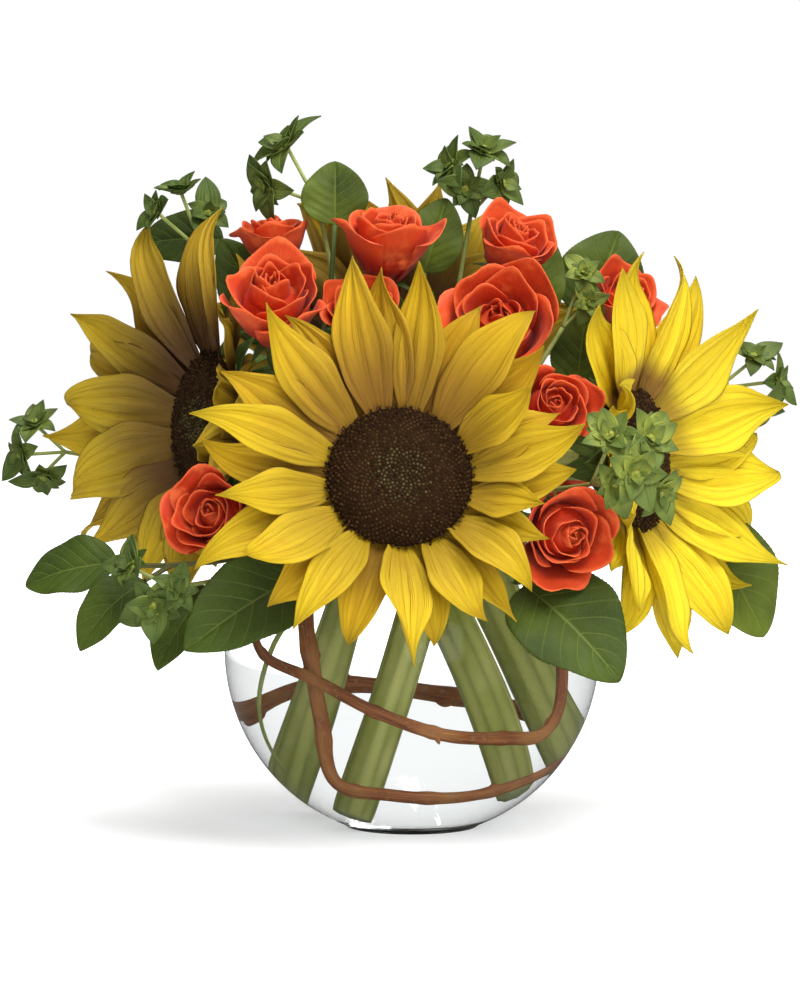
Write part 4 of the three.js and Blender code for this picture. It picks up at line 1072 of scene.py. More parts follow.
def green_finish(name, base, dark, pale, roughness, rib_count=0.0, through=0.0, streaks=0.0):
    """A green skin with blotches, and with ribs whose grooves are painted in shade, pale streaks of painted
    highlight and light through it if wanted.
    """
    finish = Finish(name, roughness, 0.2)
    highlight_green = (0.52, 0.53, 0.16)
    blotches = finish.mottling(Scale=55.0, Contrast=2.4)
    skin = finish.mix(blotches, finish.mix(finish.tint(), base, dark), pale)
    if rib_count:
        ribs = finish.ribs(Count=rib_count, Wander=0.05, Sharpness=0.8)
        # The grooves between the ribs are darkened: painted shade.
        skin = finish.mix(finish.maths("MULTIPLY_ADD", ribs, -0.5, 0.5), skin, dark)
        grain = finish.mottling(Scale=700.0, Contrast=1.5)
        finish.relief(finish.maths("ADD", ribs, grain), 0.00035, 0.7)
    else:
        finish.relief(finish.mottling(Scale=420.0, Contrast=1.5), 0.0002, 0.5)
    if streaks:
        # Thin pale streaks along the stem are a painted highlight.
        highlight_lines = finish.ribs(Count=streaks, Wander=0.25, Sharpness=7.0)
        skin = finish.mix(finish.maths("MULTIPLY", highlight_lines, 0.6), skin, highlight_green)
    finish.rough(blotches, roughness - 0.08, roughness + 0.1)
    finish.colour(skin)
    if through:
        finish.glow_through(skin, through)
    return finish.material


def cut_end_finish():
    """The pale pith of a cut stem."""
    finish = Finish("cut_pith", 0.8, 0.2)
    pith = (0.50, 0.52, 0.25)
    pore_green = (0.34, 0.38, 0.14)
    finish.colour(finish.mix(finish.mottling(Scale=500.0, Contrast=2.0), pith, pore_green))
    return finish.material


def rose_petal_finish(colours):
    """Orange red velvet, paler at the rim, deeper red and painted shade towards the heart, and painted
    shade towards each petal's base.
    """
    finish = Finish("rose_petal", 0.55, 0.2)
    _, along = surface_place(finish.tree)
    heart_red_and_shade = (0.60, 0.040, 0.010)
    fold_shade_red = (0.40, 0.018, 0.005)
    vein_red = (0.42, 0.02, 0.006)
    blotch_orange = (0.88, 0.17, 0.045)
    # Inner petals lean to a deeper red: partly the rose's own colour, partly painted shade in its cup.
    heart_and_shade = finish.mix(finish.tint(), heart_red_and_shade, colours.rose)
    # Each petal is darkened towards its base: painted shade in the folds.
    folded = finish.mix(finish.band(along, 0.75, 0.30), heart_and_shade, fold_shade_red)
    rim = finish.mix(finish.band(along, 0.90, 1.04), folded, colours.rose_edge)
    veins = finish.ribs(Count=23.0, Wander=0.25, Sharpness=1.0)
    veined = finish.mix(finish.maths("MULTIPLY_ADD", veins, -0.16, 0.16), rim, vein_red)
    blotches = finish.band(finish.mottling(Scale=120.0, Contrast=2.0), 0.5, 1.0)
    blotched = finish.mix(blotches, veined, blotch_orange)
    finish.colour(blotched)
    finish.relief(veins, 0.0001, 0.5)
    finish.shader.inputs["Sheen Weight"].default_value = 0.08
    finish.shader.inputs["Sheen Roughness"].default_value = 0.4
    finish.glow_through(blotched, 0.15)
    return finish.material


def leaf_finish(colours, pairs):
    """Waxy dark green with pale veins."""
    finish = Finish("leaf_skin", 0.50, 0.12)
    veins = finish.veins(Pairs=float(pairs), Slant=0.30, Width=0.06, Net=0.12)
    blotches = finish.mottling(Scale=45.0, Contrast=2.0)
    sunlit_green = (0.155, 0.205, 0.022)
    blotch_green = (0.036, 0.056, 0.012)
    skin = finish.mix(finish.tint(), colours.leaf, sunlit_green)
    skin = finish.mix(blotches, skin, blotch_green)
    veined = finish.mix(finish.maths("MULTIPLY", veins, 0.6), skin, colours.vein)
    finish.colour(veined)
    finish.rough(blotches, 0.40, 0.58)
    finish.relief(veins, 0.0003, 0.7)
    finish.glow_through(veined, 0.12)
    return finish.material


def sprig_bract_finish(name, skin_colour, heart_colour, tip_colour):
    """Soft green with a yellow heart and fine veins that run along it."""
    finish = Finish(name, 0.5, 0.25)
    _, along = surface_place(finish.tree)
    ribs = finish.ribs(Count=7.0, Wander=0.05, Sharpness=0.5)
    vein_green = (0.26, 0.33, 0.08)
    skin = finish.mix(finish.tint(), skin_colour, tip_colour)
    lined = finish.mix(finish.maths("MULTIPLY_ADD", ribs, -0.5, 0.5), skin, vein_green)
    tipped = finish.mix(finish.band(along, 0.38, 0.95), lined, tip_colour)
    heart = finish.mix(finish.band(along, 0.40, 0.0), tipped, heart_colour)
    finish.colour(heart)
    finish.relief(ribs, 0.00025, 0.6)
    finish.glow_through(heart, 0.2)
    return finish.material


def sprig_flower_finish(colours):
    """Tiny yellow green flowers."""
    finish = Finish("sprig_flower", 0.6, 0.3)
    bud_green = (0.22, 0.28, 0.04)
    finish.colour(finish.mix(finish.tint(), colours.sprig_heart, bud_green))
    return finish.material


def bark_finish(colours):
    """Smooth red brown bark with long streaks and pale pores."""
    finish = Finish("willow_bark", 0.5, 0.4)
    streak_brown = (0.13, 0.038, 0.014)
    aged_brown = (0.46, 0.19, 0.055)
    streaks = finish.ribs(Count=15.0, Wander=0.5, Sharpness=0.8)
    pores = finish.band(finish.mottling(Scale=520.0, Contrast=3.2), 0.80, 0.95)
    skin = finish.mix(streaks, streak_brown, colours.bark)
    blotches = finish.band(finish.mottling(Scale=38.0, Contrast=2.4), 0.45, 0.95)
    aged = finish.mix(blotches, skin, aged_brown)
    finish.colour(finish.mix(finish.maths("MULTIPLY", pores, 0.7), aged, colours.bark_pale))
    finish.relief(finish.maths("MULTIPLY_ADD", pores, 0.5, streaks), 0.0003, 0.7)
    finish.rough(streaks, 0.42, 0.6)
    return finish.material


def light_by_ray(tree, seen, soft, mirrored):
    """A light's strength where it is seen, where it lights matt things, and where it is mirrored.

    Dark mirrored surroundings give glass its dark edges, as black cards do in a studio.
    """
    path = tree.nodes.new("ShaderNodeLightPath")
    matt = maths(tree, "MINIMUM", path.outputs["Diffuse Depth"], 1.0)
    mirror = maths(tree, "MINIMUM", path.outputs["Glossy Depth"], 1.0)
    clean = maths(tree, "MULTIPLY_ADD", mirror, mirrored - seen, seen)
    part = maths(tree, "MULTIPLY", maths(tree, "SUBTRACT", 1.0, matt), clean)
    return maths(tree, "MULTIPLY_ADD", matt, soft, part)


def backdrop_finish(colours):
    """Pale paper with a painted glow, stronger away from the bowl, that stands in for a studio's own lamps.
    """
    finish = Finish("backdrop_paper", 0.9, 0.1)
    place = finish.tree.nodes.new("ShaderNodeTexCoord")
    distance = finish.tree.nodes.new("ShaderNodeVectorMath")
    distance.operation = "LENGTH"
    finish.tree.links.new(place.outputs["Object"], distance.inputs[0])
    # The glow is painted light: weak near the bowl, so that the shadow shows only there.
    away = finish.band(distance.outputs["Value"], 0.09, 0.30)
    lift = finish.maths("MULTIPLY_ADD", away, 0.68, 0.34)
    glow = finish.maths("MULTIPLY", lift, light_by_ray(finish.tree, 1.0, 0.35, 0.05))
    finish.shader.inputs["Emission Color"].default_value = (1.0, 1.0, 1.0, 1.0)
    finish.tree.links.new(glow, finish.shader.inputs["Emission Strength"])
    # Where glass mirrors the paper, the paper's colour is a dark grey: a painted dark reflection for the
    # glass's edges.
    path = finish.tree.nodes.new("ShaderNodeLightPath")
    mirror = finish.maths("MINIMUM", path.outputs["Glossy Depth"], 1.0)
    mirrored_grey = (0.12, 0.12, 0.12)
    finish.colour(finish.mix(mirror, colours.floor, mirrored_grey))
    return finish.material


# ---- operators: one for each group of pieces ----
# A whorl of ray petals: its root's height on the head, the shift of its seeds, and its painted shade, as
# the back whorl lies under the front one.
WHORLS = {"back": (-3.1, 50, 0.25), "front": (-1.45, 0, 0)}


class BOUQUET_OT_ray_petals(bpy.types.Operator):
    """Models the ray petals of every sunflower"""

    bl_idname = "bouquet.ray_petals"
    bl_label = "Ray petals"

    def execute(self, context):
        settings = context.scene.bouquet
        sizes = settings.sunflower
        blade = model_blade(26, 22)
        plate = spin_profile([(0, -4.1), (25.6, -4.1), (26.6, -2.4), (25.6, -0.5), (0, -0.5)], 40)
        colours = settings.colours
        root = colours.petal_root
        # Painted light and shade: the right flower's petals are a lit copy, the left and back flowers' a
        # shaded copy, and the centre's lie in between.
        sunlit_lemon = ray_petal_finish("sunlit_ray_petal", colours.petal_sunlit_lemon, colours.petal, root, 0.34, 0.35)
        half_shaded = ray_petal_finish("ray_petal", colours.petal, colours.petal_gold_and_shade, root, 0.85, 0.35)
        unlit = ray_petal_finish(
            "shaded_ray_petal", colours.petal_ochre, colours.petal_shade_gold, colours.petal_brown, 0.90, 0.75)
        skins = {"centre": half_shaded, "left": unlit, "right": sunlit_lemon, "back": unlit}
        for flower_number, (name, flower) in enumerate(SUNFLOWERS.items()):
            facing = Facing(flower["at"], flower["faces"])
            gathering = Gathering()
            gathering.add(plate, facing.place(plate.points))
            for whorl, (root_height, seed_shift, shade_behind) in WHORLS.items():
                for i, ray in enumerate(flower[whorl]):
                    seed = flower_number * 97 + i * 3 + seed_shift
                    local = lay_ray(blade, ray, flower["width"], root_height, sizes, seed)
                    # Upper petals and the back whorl get more tint, which paints them golden as shade. The
                    # rest of the tint is each petal's own tone.
                    upper = 0.45 * max(math.cos(math.radians(ray[0])), 0)
                    tint = min(0.05 + 0.45 * draw(seed, 9) + upper + shade_behind, 1)
                    gathering.add(blade, facing.place(local), tint)
            node = f"sunflower_{name}_petals"
            gathering.piece(f"{name}_sunflower_rays", node, "ray_petal", [skins[name]])
        return {"FINISHED"}


class BOUQUET_OT_seed_discs(bpy.types.Operator):
    """Models the seed discs, floret by floret"""

    bl_idname = "bouquet.seed_discs"
    bl_label = "Seed discs"

    def execute(self, context):
        settings = context.scene.bouquet
        sizes = settings.sunflower
        radius = sizes.disc_radius / MM
        top = [(radius * share, disc_height(share, sizes) - 1.0) for share in np.linspace(0, 0.97, 16)]
        dome = spin_profile([(0, 0.0), (radius * 0.95, 0.0), *reversed(top)], 48)
        bud = model_bud()
        finishes = [floret_finish(settings.colours), closed_floret_finish(settings.colours)]
        open_skin, closed_skin = 0, 1
        for flower_number, (name, flower) in enumerate(SUNFLOWERS.items()):
            facing = Facing(flower["at"], flower["faces"])
            gathering = Gathering()
            gathering.add(dome, facing.place(dome.points), 0.2)
            seed = flower_number * 13 + 5
            for i in range(sizes.florets):
                share = math.sqrt((i + 0.5) / sizes.florets)
                lean = 0.95 * share**3 + spread(seed, i, 0.18 + 0.25 * share**6)
                outward, sideways = around(i * GOLDEN_ANGLE)
                rim = float(smooth((share - 0.62) / 0.25))
                height = blend(1.4, sizes.floret_height / MM, rim)
                height = height * (1 + spread(seed, i + 4000, blend(0.25, 0.5, rim)))
                height = height * (1 + 0.6 * draw(seed, i + 20000) * float(smooth((share - 0.88) / 0.08)))
                width = blend(0.60, 0.54, rim)
                axis = unit(UPRIGHT * math.cos(lean) + outward * math.sin(lean)
                            + sideways * spread(seed, i + 8000, 0.22 + 0.25 * rim))
                side = unit(np.cross(axis, sideways))
                root = outward * radius * 0.975 * share + UPRIGHT * (disc_height(share, sizes) - 1.15)
                local = lay_bud(bud, root, (side, np.cross(axis, side), axis), width, height)
                skin = closed_skin if share < 0.24 + 0.24 * draw(seed, i + 12000) else open_skin
                gathering.add(bud, facing.place(local), draw(seed, i + 16000), skin)
            gathering.piece(f"{name}_sunflower_disc", f"sunflower_{name}_disc", "seed_disc", finishes)
        return {"FINISHED"}


class BOUQUET_OT_sunflower_stems(bpy.types.Operator):
    """Models the sunflowers' thick stems and the green backs of their heads"""

    bl_idname = "bouquet.sunflower_stems"
    bl_label = "Sunflower stems"

    def execute(self, context):
        settings = context.scene.bouquet
        sizes, colours = settings.sunflower, settings.colours
        rod, pith, blade, bristle = model_rod(52, 70), model_rod(40, 2), model_blade(8, 12), model_bud()
        back = spin_profile([(0, -4.7), (24, -4.7), (25.8, -6.5), (24.5, -9.5), (20, -13), (14, -16.5),
                             (9.5, -20), (7, -24), (0, -24)], 52)
        finishes = [
            green_finish("sunflower_stem", colours.stem, dark=(0.12, 0.145, 0.024),
                         pale=(0.50, 0.50, 0.17), roughness=0.45, rib_count=9.0, streaks=3.0),
            green_finish("sunflower_bract", colours.bract, dark=(0.06, 0.10, 0.02),
                         pale=(0.17, 0.24, 0.05), roughness=0.6, rib_count=9.0, through=0.1),
            cut_end_finish(),
        ]
        bract_skin, pale_skin = 1, 2
        # A ring of bracts behind the head: its lift, its reach and its roots' height.
        rings = ((0.15, 21, -6.5), (-0.35, 19, -9.5))
        radius = sizes.stem_radius / MM
        for flower_number, (name, flower) in enumerate(SUNFLOWERS.items()):
            facing = Facing(flower["at"], flower["faces"])
            places = [*flower["stem"], facing.behind(-37), facing.behind(-15)]
            gathering = Gathering()

            def swell(along, _, seed=flower_number):
                return (1 + 0.20 * smooth((along - 0.86) / 0.12) + 0.05 * np.sin(along * 9 + seed)
                        - 0.03 * smooth((0.02 - along) * 60))

            radii = (radius, radius * 0.97)
            laid = lay_rod(rod, places, radii, sizes.stem_ribs, rib_depth=0.04, swell=swell)
            gathering.add(rod, laid, 0.3)
            line = curve_points(places, CURVE_STEPS + 1)
            end = [line[0] - unit(line[1] - line[0]) * 0.12, line[1]]
            pith_radius = radius * 0.86
            gathering.add(pith, lay_rod(pith, end, (pith_radius, pith_radius)), finish=pale_skin)
            gathering.add(back, facing.place(back.points), finish=bract_skin)
            for ring, (lift, reach, height) in enumerate(rings):
                seed = flower_number * 31 + ring * 17
                for i in range(sizes.bracts):
                    turn = (i + 0.5 * ring) * 2 * math.pi / sizes.bracts + spread(seed, i, 0.1)
                    own_reach = reach * (1 + spread(seed, i + 40, 0.12))
                    own_lift = lift + spread(seed, i + 80, 0.2)
                    curl = -0.5 + spread(seed, i + 120, 0.5)
                    local = lay_bract(blade, turn, (20, height), own_reach, width=11, lift=own_lift,
                                      curl=curl, thickness=0.9, cup=0.3, fullest=0.3)
                    gathering.add(blade, facing.place(local), draw(seed, i + 160), bract_skin)
            heading = np.gradient(line, axis=0)
            first_bristle, last_bristle = 90, 220
            for i in range(sizes.bristles):
                step = int(blend(first_bristle, last_bristle, draw(flower_number + 3, i)))
                turn = draw(flower_number + 7, i) * 2 * math.pi
                forward = unit(heading[step])
                side = unit(np.cross(forward, UPRIGHT + 0.3 * facing.out))
                outward = side * math.cos(turn) + np.cross(forward, side) * math.sin(turn)
                along = unit(outward + forward * spread(5, i, 0.5))
                root = line[step] + outward * radius * 0.95
                axes = (forward, np.cross(forward, outward), along)
                gathering.add(bristle, lay_bud(bristle, root, axes, 0.08, 1.5), 0.9, pale_skin)
            gathering.piece(f"{name}_sunflower_stem", f"sunflower_{name}_stem", "sunflower_stem", finishes)
        return {"FINISHED"}


class BOUQUET_OT_rose_blooms(bpy.types.Operator):
    """Models the spray roses' blooms, petal by petal"""

    bl_idname = "bouquet.rose_blooms"
    bl_label = "Rose blooms"

    def execute(self, context):
        settings = context.scene.bouquet
        sizes = settings.rose
        blade = model_blade(16, 14)
        finish = rose_petal_finish(settings.colours)
        roses = [item for spray in ROSE_SPRAYS.values() for item in spray["roses"].items()]
        heart = spin_profile(
            [(0, -1.36), (0.3, -1.34), (0.62, -1.0), (0.55, -0.5), (0.2, -0.25), (0, -0.2)], 20)
        for seed, (name, rose) in enumerate(roses):
            facing = Facing(rose["at"], rose["faces"])
            gathering = Gathering()
            gathering.add(heart, facing.place(heart.points * rose["radius"]), 0.0)
            for order in range(sizes.petals):
                local = lay_rose_petal(blade, order, rose["radius"], seed * 0.9, sizes, seed + 1)
                # A low tint paints the inner petals deeper red and in shade, and the tint of the darkened
                # roses is cut further.
                tint = blend(0.1, 0.75, order / sizes.petals) + spread(seed, order, 0.2)
                tint = tint * (0.3 if name in DARKENED_ROSES else 1.0)
                gathering.add(blade, facing.place(local), min(max(tint, 0), 1))
            gathering.piece(f"{name}_petals", f"{name}_bloom", "rose_petal", [finish])
        return {"FINISHED"}


def add_leaf(name, leaf, blade, sizes, finish, node, seed):
    """Models one broad leaf as a piece of its own, which shares its stem's node."""
    gathering = Gathering()
    shade = 0.15 if leaf["tip"][0] < SHADE_BEGINS_X else 1.0
    gathering.add(blade, lay_leaf(blade, leaf, sizes, seed), draw(seed, 2) * shade)
    gathering.piece(name, node, "leaf", [finish])


class BOUQUET_OT_rose_sprays(bpy.types.Operator):
    """Models the roses' stems, stalks, calyxes, sepals and leaves"""

    bl_idname = "bouquet.rose_sprays"
    bl_label = "Rose sprays"

    def execute(self, context):
        settings = context.scene.bouquet
        sizes, foliage, colours = settings.rose, settings.foliage, settings.colours
        rod, stalk_rod = model_rod(14, 46), model_rod(12, 22)
        sepal, leaf_blade = model_blade(6, 12), model_blade(28, 66)
        cup_radius = sizes.calyx_radius / MM
        cup = spin_profile([(0, 0), (cup_radius * 1.15, 0), (cup_radius * 1.22, -1.8),
                            (cup_radius * 1.1, -4.4), (cup_radius * 0.62, -6.4), (0, -6.4)], 20)
        green = green_finish("rose_green", colours.rose_green, dark=(0.05, 0.085, 0.02),
                             pale=(0.15, 0.20, 0.05), roughness=0.5, rib_count=7.0)
        leaf_skin = leaf_finish(colours, foliage.vein_pairs)
        for number, (letter, spray) in enumerate(ROSE_SPRAYS.items()):
            node = f"rose_spray_{letter}_stem"
            gathering = Gathering()
            ends = []
            for i, rose in enumerate(spray["roses"].values()):
                facing = Facing(rose["at"], rose["faces"])
                base = -sizes.depth * rose["radius"]
                ends.append([facing.behind(base - 14), facing.behind(base - 4)])
                lowered = cup.points + UPRIGHT * (base - 0.1)
                gathering.add(cup, facing.place(lowered), 0.4)
                for petal in range(5):
                    turn = petal * 2 * math.pi / 5 + number + i
                    lift = 0.25 + spread(number, petal + i, 0.2)
                    curl = -1.0 + spread(number, petal + 9, 0.5)
                    local = lay_bract(sepal, turn, (cup_radius * 0.8, base - 0.9), sizes.sepal_length / MM,
                                      width=4.4, lift=lift, curl=curl, thickness=0.6, cup=0.2, fullest=0.25)
                    gathering.add(sepal, facing.place(local), draw(number, petal + 20))
            main = [*spray["stem"], *ends[0]]
            radius, stalk = sizes.stem_radius / MM, sizes.stalk_radius / MM
            gathering.add(rod, lay_rod(rod, main, (radius, radius * 0.9)))
            for other in ends[1:]:
                fork = nearest_ring(main, spray["stem"][-1])
                gathering.add(stalk_rod, lay_rod(stalk_rod, [fork, *other], (stalk, stalk)))
            for i, leaf in enumerate(spray["leaves"]):
                petiole = [nearest_ring(main, leaf["stalk"][0]), *leaf["stalk"][1:]]
                thin = foliage.leaf_stalk_radius / MM
                gathering.add(stalk_rod, lay_rod(stalk_rod, petiole, (thin, thin * 0.9)), 0.4)
                add_leaf(f"spray_{letter}_leaf_{i + 1}", leaf, leaf_blade, foliage, leaf_skin, node,
                         number * 7 + i)
            gathering.piece(f"spray_{letter}_stems", node, "rose_green", [green])
        return {"FINISHED"}


class BOUQUET_OT_leaf_twigs(bpy.types.Operator):
    """Models the leafy twigs"""

    bl_idname = "bouquet.leaf_twigs"
    bl_label = "Leafy twigs"

    def execute(self, context):
        settings = context.scene.bouquet
        foliage, colours = settings.foliage, settings.colours
        rod, stalk_rod, blade = model_rod(12, 46), model_rod(10, 12), model_blade(28, 66)
        twig_skin = green_finish("twig_green", base=(0.11, 0.13, 0.03), dark=(0.12, 0.08, 0.03),
                                 pale=(0.17, 0.20, 0.06), roughness=0.55, rib_count=5.0)
        leaf_skin = bpy.data.materials.get("leaf_skin") or leaf_finish(colours, foliage.vein_pairs)
        thick, thin = foliage.twig_radius / MM, foliage.leaf_stalk_radius / MM
        for number, (name, twig) in enumerate(LEAF_TWIGS.items()):
            gathering = Gathering()
            gathering.add(rod, lay_rod(rod, twig["stem"], (thick, thick * 0.85)))
            for i, leaf in enumerate(twig["leaves"]):
                petiole = [nearest_ring(twig["stem"], leaf["stalk"][0]), *leaf["stalk"][1:]]
                gathering.add(stalk_rod, lay_rod(stalk_rod, petiole, (thin, thin * 0.8)), 0.4)
                side = name.removeprefix("leaf_twig_")
                seed = number * 11 + i + 60
                add_leaf(f"{side}_leaf_{i + 1}", leaf, blade, foliage, leaf_skin, name, seed)
            gathering.piece(f"{name.removeprefix('leaf_')}_stem", name, "leaf", [twig_skin])
        return {"FINISHED"}


# A ring of bracts in a whorl: its turn as a share of a step, its size, its lift and its roots' height.
WHORL_RINGS = ((0.0, 1.14, 0.55, 0.3), (0.5, 0.86, 0.85, 0.5), (0.25, 0.60, 1.15, 0.8))


class BOUQUET_OT_sprigs(bpy.types.Operator):
    """Models the thoroughwax sprigs: whorls of pointed bracts round knots of tiny flowers"""

    bl_idname = "bouquet.sprigs"
    bl_label = "Thoroughwax sprigs"

    def execute(self, context):
        settings = context.scene.bouquet
        foliage, colours = settings.foliage, settings.colours
        rod, stalk_rod, blade, bud = model_rod(10, 40), model_rod(8, 10), model_blade(10, 14), model_bud()
        # The bract finishes are copies painted for the light: the sunlit sprigs get painted light, and the
        # rest get painted shade.
        finishes = [
            green_finish("sprig_stem", base=(0.30, 0.36, 0.09), dark=(0.17, 0.22, 0.05),
                         pale=(0.40, 0.45, 0.14), roughness=0.55),
            sprig_bract_finish("sprig_bract", colours.sprig_shade, heart_colour=(0.33, 0.38, 0.07),
                               tip_colour=(0.080, 0.125, 0.024)),
            sprig_flower_finish(colours),
            sprig_bract_finish("sunlit_sprig_bract", colours.sprig, heart_colour=(0.52, 0.52, 0.08),
                               tip_colour=(0.125, 0.180, 0.034)),
        ]
        shaded_skin, flower_skin, sunlit_skin = 1, 2, 3
        step = 2 * math.pi / foliage.whorl_bracts
        thick, thin = foliage.sprig_stem_radius / MM, foliage.sprig_stalk_radius / MM
        for number, (name, sprig) in enumerate(SPRIGS.items()):
            gathering = Gathering()
            gathering.add(rod, lay_rod(rod, sprig["stem"], (thick, thick * 0.8)), 0.4)
            skin = sunlit_skin if name in SUNLIT_SPRIGS else shaded_skin
            for x, y, z, size, *faces in sprig["whorls"]:
                facing = Facing((x, y, z), faces)
                stalk = lay_rod(stalk_rod, [sprig["stem"][-1], (x, y, z)], (thin, thin))
                gathering.add(stalk_rod, stalk, 0.4)
                for i in range(foliage.whorl_bracts):
                    azimuth = i * step + math.radians(x * 7)
                    reach = size * (0.9 + 0.16 * math.sin(i * 2.4 + y))
                    for ring, (turn, size_share, lift, height) in enumerate(WHORL_RINGS):
                        seed = (number * 19 + i) * 7 + ring
                        own_reach = reach * size_share * (1 + spread(seed, 1, 0.12))
                        own_turn = azimuth + step * turn + spread(seed, 2, 0.25)
                        own_lift = lift + spread(seed, 3, 0.2)
                        curl = -0.7 + spread(seed, 4, 0.6)
                        laid = lay_bract(blade, own_turn, (0.2, height), own_reach, width=own_reach * 0.66,
                                         lift=own_lift, curl=curl, thickness=0.5, cup=0.24, fullest=0.40)
                        gathering.add(blade, facing.place(laid), draw(seed, 5), skin)
                for i in range(foliage.whorl_florets):
                    spot = math.sqrt((i + 0.5) / foliage.whorl_florets) * size * 0.20
                    outward, _ = around(i * GOLDEN_ANGLE)
                    place = outward * spot + UPRIGHT * (0.24 * size - spot * 0.3)
                    flower = facing.place(bud.points * 0.095 * size + place)
                    gathering.add(bud, flower, draw(number, i), flower_skin)
            gathering.piece(f"{name}_bracts", name, "sprig_green", finishes)
        return {"FINISHED"}


class BOUQUET_OT_willow_switches(bpy.types.Operator):
    """Models the two switches of curly willow, with their buds"""

    bl_idname = "bouquet.willow_switches"
    bl_label = "Willow switches"

    def execute(self, context):
        settings = context.scene.bouquet
        spacing = settings.foliage.bud_spacing / MM
        rod, bud = model_rod(20, 190), model_rod(10, 9)
        finish = bark_finish(settings.colours)
        bowl_middle = np.array([0, 0, 66.0])
        for number, (name, willow) in enumerate(WILLOWS.items()):
            line = curve_points(willow["path"], CURVE_STEPS + 1)
            whole = np.linalg.norm(np.diff(line, axis=0), axis=1).sum()
            buds = int(whole / spacing)
            spots = [(i + 0.6 + spread(number, i, 0.2)) / (buds + 0.4) for i in range(buds)]
            knots = [line[int(spot * CURVE_STEPS)] for spot in spots]
            stub = min(range(buds), key=lambda i: abs(knots[i][0] - STUB_NEAR_X) + knots[i][2])

            def swell(along, turn, spots=spots, number=number):
                swellings = sum(np.exp(-(((along - spot) / 0.008) ** 2)) for spot in spots)
                gnarl = np.sin(along * 61 + number) * np.cos(turn * 2 + along * 25)
                return 1 + 0.16 * swellings + 0.03 * gnarl

            def taper(along, _):
                return np.sin(math.pi * np.clip(0.12 + 0.86 * along, 0, 1)) ** 0.7

            gathering = Gathering()
            gathering.add(rod, lay_rod(rod, willow["path"], willow["radius"], swell=swell))
            for i, spot in enumerate(spots):
                step = int(spot * CURVE_STEPS)
                forward = unit(line[min(step + 1, CURVE_STEPS)] - line[step - 1])
                inward = unit(bowl_middle - line[step])
                side = unit(np.cross(forward, inward)) * (1 if i % 2 else -1)
                outward = unit(side * 0.8 + inward * 0.6)
                radius = blend(*willow["radius"], spot)
                start = line[step] + outward * radius * 0.5
                point = start + forward * 4.2 + outward * 1.5
                if name == "willow_front" and i == stub:
                    outward = unit(STUB_HEADING)
                    start = line[step] + outward * radius * 0.4
                    point = start + outward * 4.6 + forward * 0.8

                places = [start, (start + point) / 2 + outward * 0.7, point]
                gathering.add(bud, lay_rod(bud, places, (1.25, 0.9), swell=taper), 0.8)
            gathering.piece(f"{name}_switch", name, "willow_bark", [finish])
        return {"FINISHED"}


class BOUQUET_OT_glass_bowl(bpy.types.Operator):
    """Models the round glass bowl: a turned wall with a fire-polished rim and a thick foot"""

    bl_idname = "bouquet.glass_bowl"
    bl_label = "Glass bowl"

    def execute(self, context):
        bowl = context.scene.bouquet.bowl
        radius, centre, wall = bowl.radius / MM, bowl.centre_height / MM, bowl.wall / MM
        rim, floor = bowl.rim_height / MM, bowl.floor / MM
        inner = radius - wall
        lip = wall / 2
        foot_height = 1.2
        low = math.asin(-(centre - foot_height) / radius)
        high = math.asin((rim - centre - lip) / (radius - lip))
        outside = arc((0, centre), radius, low, high, 56)
        middle = ((radius - lip) * math.cos(high), centre + (radius - lip) * math.sin(high))
        rolled = arc(middle, lip, high, high + math.pi, 12)[1:-1]
        foot_reach = outside[0][0] - 1.6
        fillet = math.asin(-(centre - floor - 0.8) / inner)
        inside = arc((0, centre), inner, high, fillet, 56)
        foot = [(0, 0.5), (foot_reach - 6, 0.4), (foot_reach - 2, 0.0), (foot_reach, 0.0)]
        bottom = [(inside[-1][0] - 2.2, floor + 0.15), (inside[-1][0] - 5, floor), (0, floor)]
        turned = spin_profile([*foot, *outside, *rolled, *inside, *bottom], bowl.steps)
        gathering = Gathering()
        gathering.add(turned, turned.points)
        glass = clear_finish("clear_glass", ior=1.50, sheen=0.25, tint=(0.985, 0.995, 0.99),
                             shadow=(0.93, 0.95, 0.95))
        gathering.piece("round_glass_bowl", "bowl_glass", "glass", [glass])
        return {"FINISHED"}


class BOUQUET_OT_water(bpy.types.Operator):
    """Models the water, which meets the glass and climbs a little at its edge"""

    bl_idname = "bouquet.water"
    bl_label = "Water"

    def execute(self, context):
        bowl = context.scene.bouquet.bowl
        centre, floor, level = bowl.centre_height / MM, bowl.floor / MM, bowl.water_level / MM
        wet = (bowl.radius - bowl.wall + bowl.water_overlap) / MM
        low = math.asin(-(centre - floor - 0.9) / wet)
        climb = 1.1
        high = math.asin((level + climb - centre) / wet)
        wall = arc((0, centre), wet, low, high, 60)
        edge = wall[-1][0]
        reaches = (0.5, 1.1, 1.9, 3.0, 5.0)
        meniscus = [(edge - reach, level + climb * math.exp(-reach / 0.9)) for reach in reaches]
        bottom = [(0, floor - 0.1), (wall[0][0] - 5, floor - 0.1), (wall[0][0] - 2, floor + 0.08)]
        turned = spin_profile([*bottom, *wall, *meniscus, (0, level)], bowl.steps)
        gathering = Gathering()
        gathering.add(turned, turned.points)
        water = clear_finish("still_water", ior=1.333, sheen=0.0, tint=(0.985, 0.995, 1.0),
                             shadow=(0.97, 0.98, 0.98))
        gathering.piece("still_water", "water", "water", [water])
        return {"FINISHED"}


def look_at(thing, at, aim):
    """Turns a camera or a lamp that stands at one place towards another."""
    thing.rotation_euler = (Vector(aim) - Vector(at)).to_track_quat("-Z", "Y").to_euler()


def add_lamp(name, at, aim, size, power):
    """A square studio lamp that looks at a place."""
    bpy.ops.object.light_add(type="AREA", location=at)
    lamp = bpy.context.object
    lamp.name = name
    lamp.data.size = size
    lamp.data.energy = power
    look_at(lamp, at, aim)


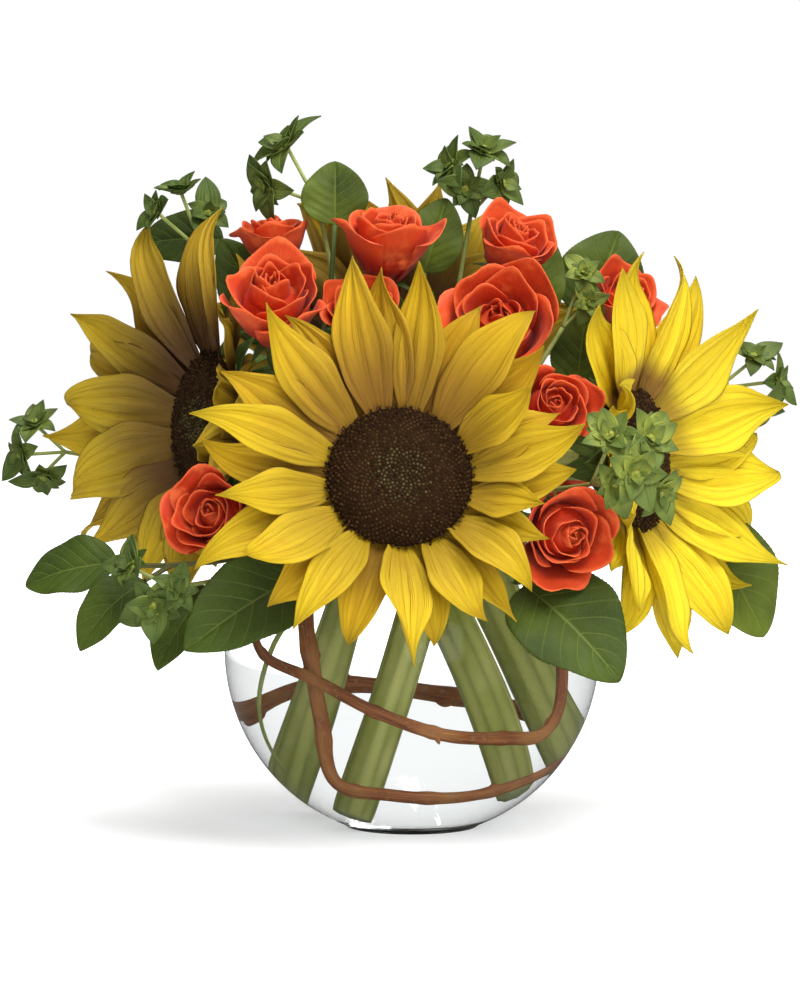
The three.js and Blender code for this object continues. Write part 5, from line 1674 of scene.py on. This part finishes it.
class BOUQUET_OT_stage(bpy.types.Operator):
    """Sets up the camera, the pale paper sweep and the soft lamps"""

    bl_idname = "bouquet.stage"
    bl_label = "Stage"

    def execute(self, context):
        start_clean()
        bpy.ops.object.camera_add(location=CAMERA["at"])
        camera = bpy.context.object
        camera.name = "camera"
        look_at(camera, CAMERA["at"], CAMERA["aim"])
        camera.data.lens = CAMERA["lens"]
        camera.data.sensor_width = CAMERA["sensor"]
        camera.data.dof.use_dof = False
        context.scene.camera = camera

        start_clean()
        bpy.ops.mesh.primitive_plane_add(size=8, location=(0, 0, 0))
        sweep = bpy.context.object
        sweep.name = "paper_sweep"
        sweep.data.materials.append(backdrop_finish(context.scene.bouquet.colours))

        for name, lamp in LAMPS.items():
            add_lamp(name, **lamp)

        world = bpy.data.worlds.new("studio")
        context.scene.world = world
        world.use_nodes = True
        tree = world.node_tree
        tree.nodes["Background"].inputs["Color"].default_value = (1.0, 1.0, 1.0, 1.0)
        tree.links.new(light_by_ray(tree, 1.02, 0.18, 0.05), tree.nodes["Background"].inputs["Strength"])
        context.scene.view_settings.view_transform = "Standard"
        return {"FINISHED"}


class BOUQUET_PT_panel(bpy.types.Panel):
    """Lists the arrangement's pieces and sizes in the sidebar"""

    bl_label = "Sunflower bowl"
    bl_idname = "BOUQUET_PT_panel"
    bl_space_type = "VIEW_3D"
    bl_region_type = "UI"
    bl_category = "Bouquet"

    def draw(self, context):
        for operator in OPERATORS:
            self.layout.operator(operator.bl_idname)
        settings = context.scene.bouquet
        for section in ("bowl", "sunflower", "rose", "foliage", "colours"):
            box = self.layout.box()
            box.label(text=section.capitalize())
            group = getattr(settings, section)
            for name in group.__annotations__:
                box.prop(group, name)


OPERATORS = (
    BOUQUET_OT_stage,
    BOUQUET_OT_glass_bowl,
    BOUQUET_OT_water,
    BOUQUET_OT_willow_switches,
    BOUQUET_OT_sunflower_stems,
    BOUQUET_OT_ray_petals,
    BOUQUET_OT_seed_discs,
    BOUQUET_OT_rose_sprays,
    BOUQUET_OT_rose_blooms,
    BOUQUET_OT_leaf_twigs,
    BOUQUET_OT_sprigs,
)
SETTINGS = (BowlSizes, SunflowerSizes, RoseSizes, FoliageSizes, Colours, BouquetSettings)
CLASSES = (*SETTINGS, *OPERATORS, BOUQUET_PT_panel)


def register():
    """Registers the settings, the operators and the panel."""
    for item in CLASSES:
        bpy.utils.register_class(item)
    bpy.types.Scene.bouquet = bpy.props.PointerProperty(type=BouquetSettings)


def unregister():
    """Takes them out again."""
    del bpy.types.Scene.bouquet
    for item in reversed(CLASSES):
        bpy.utils.unregister_class(item)


def main():
    """Makes every piece in turn."""
    register()
    start_clean()
    bpy.ops.bouquet.stage()
    bpy.ops.bouquet.glass_bowl()
    bpy.ops.bouquet.water()
    bpy.ops.bouquet.willow_switches()
    bpy.ops.bouquet.sunflower_stems()
    bpy.ops.bouquet.ray_petals()
    bpy.ops.bouquet.seed_discs()
    bpy.ops.bouquet.rose_sprays()
    bpy.ops.bouquet.rose_blooms()
    bpy.ops.bouquet.leaf_twigs()
    bpy.ops.bouquet.sprigs()
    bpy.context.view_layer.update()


if __name__ == "__main__":
    main()
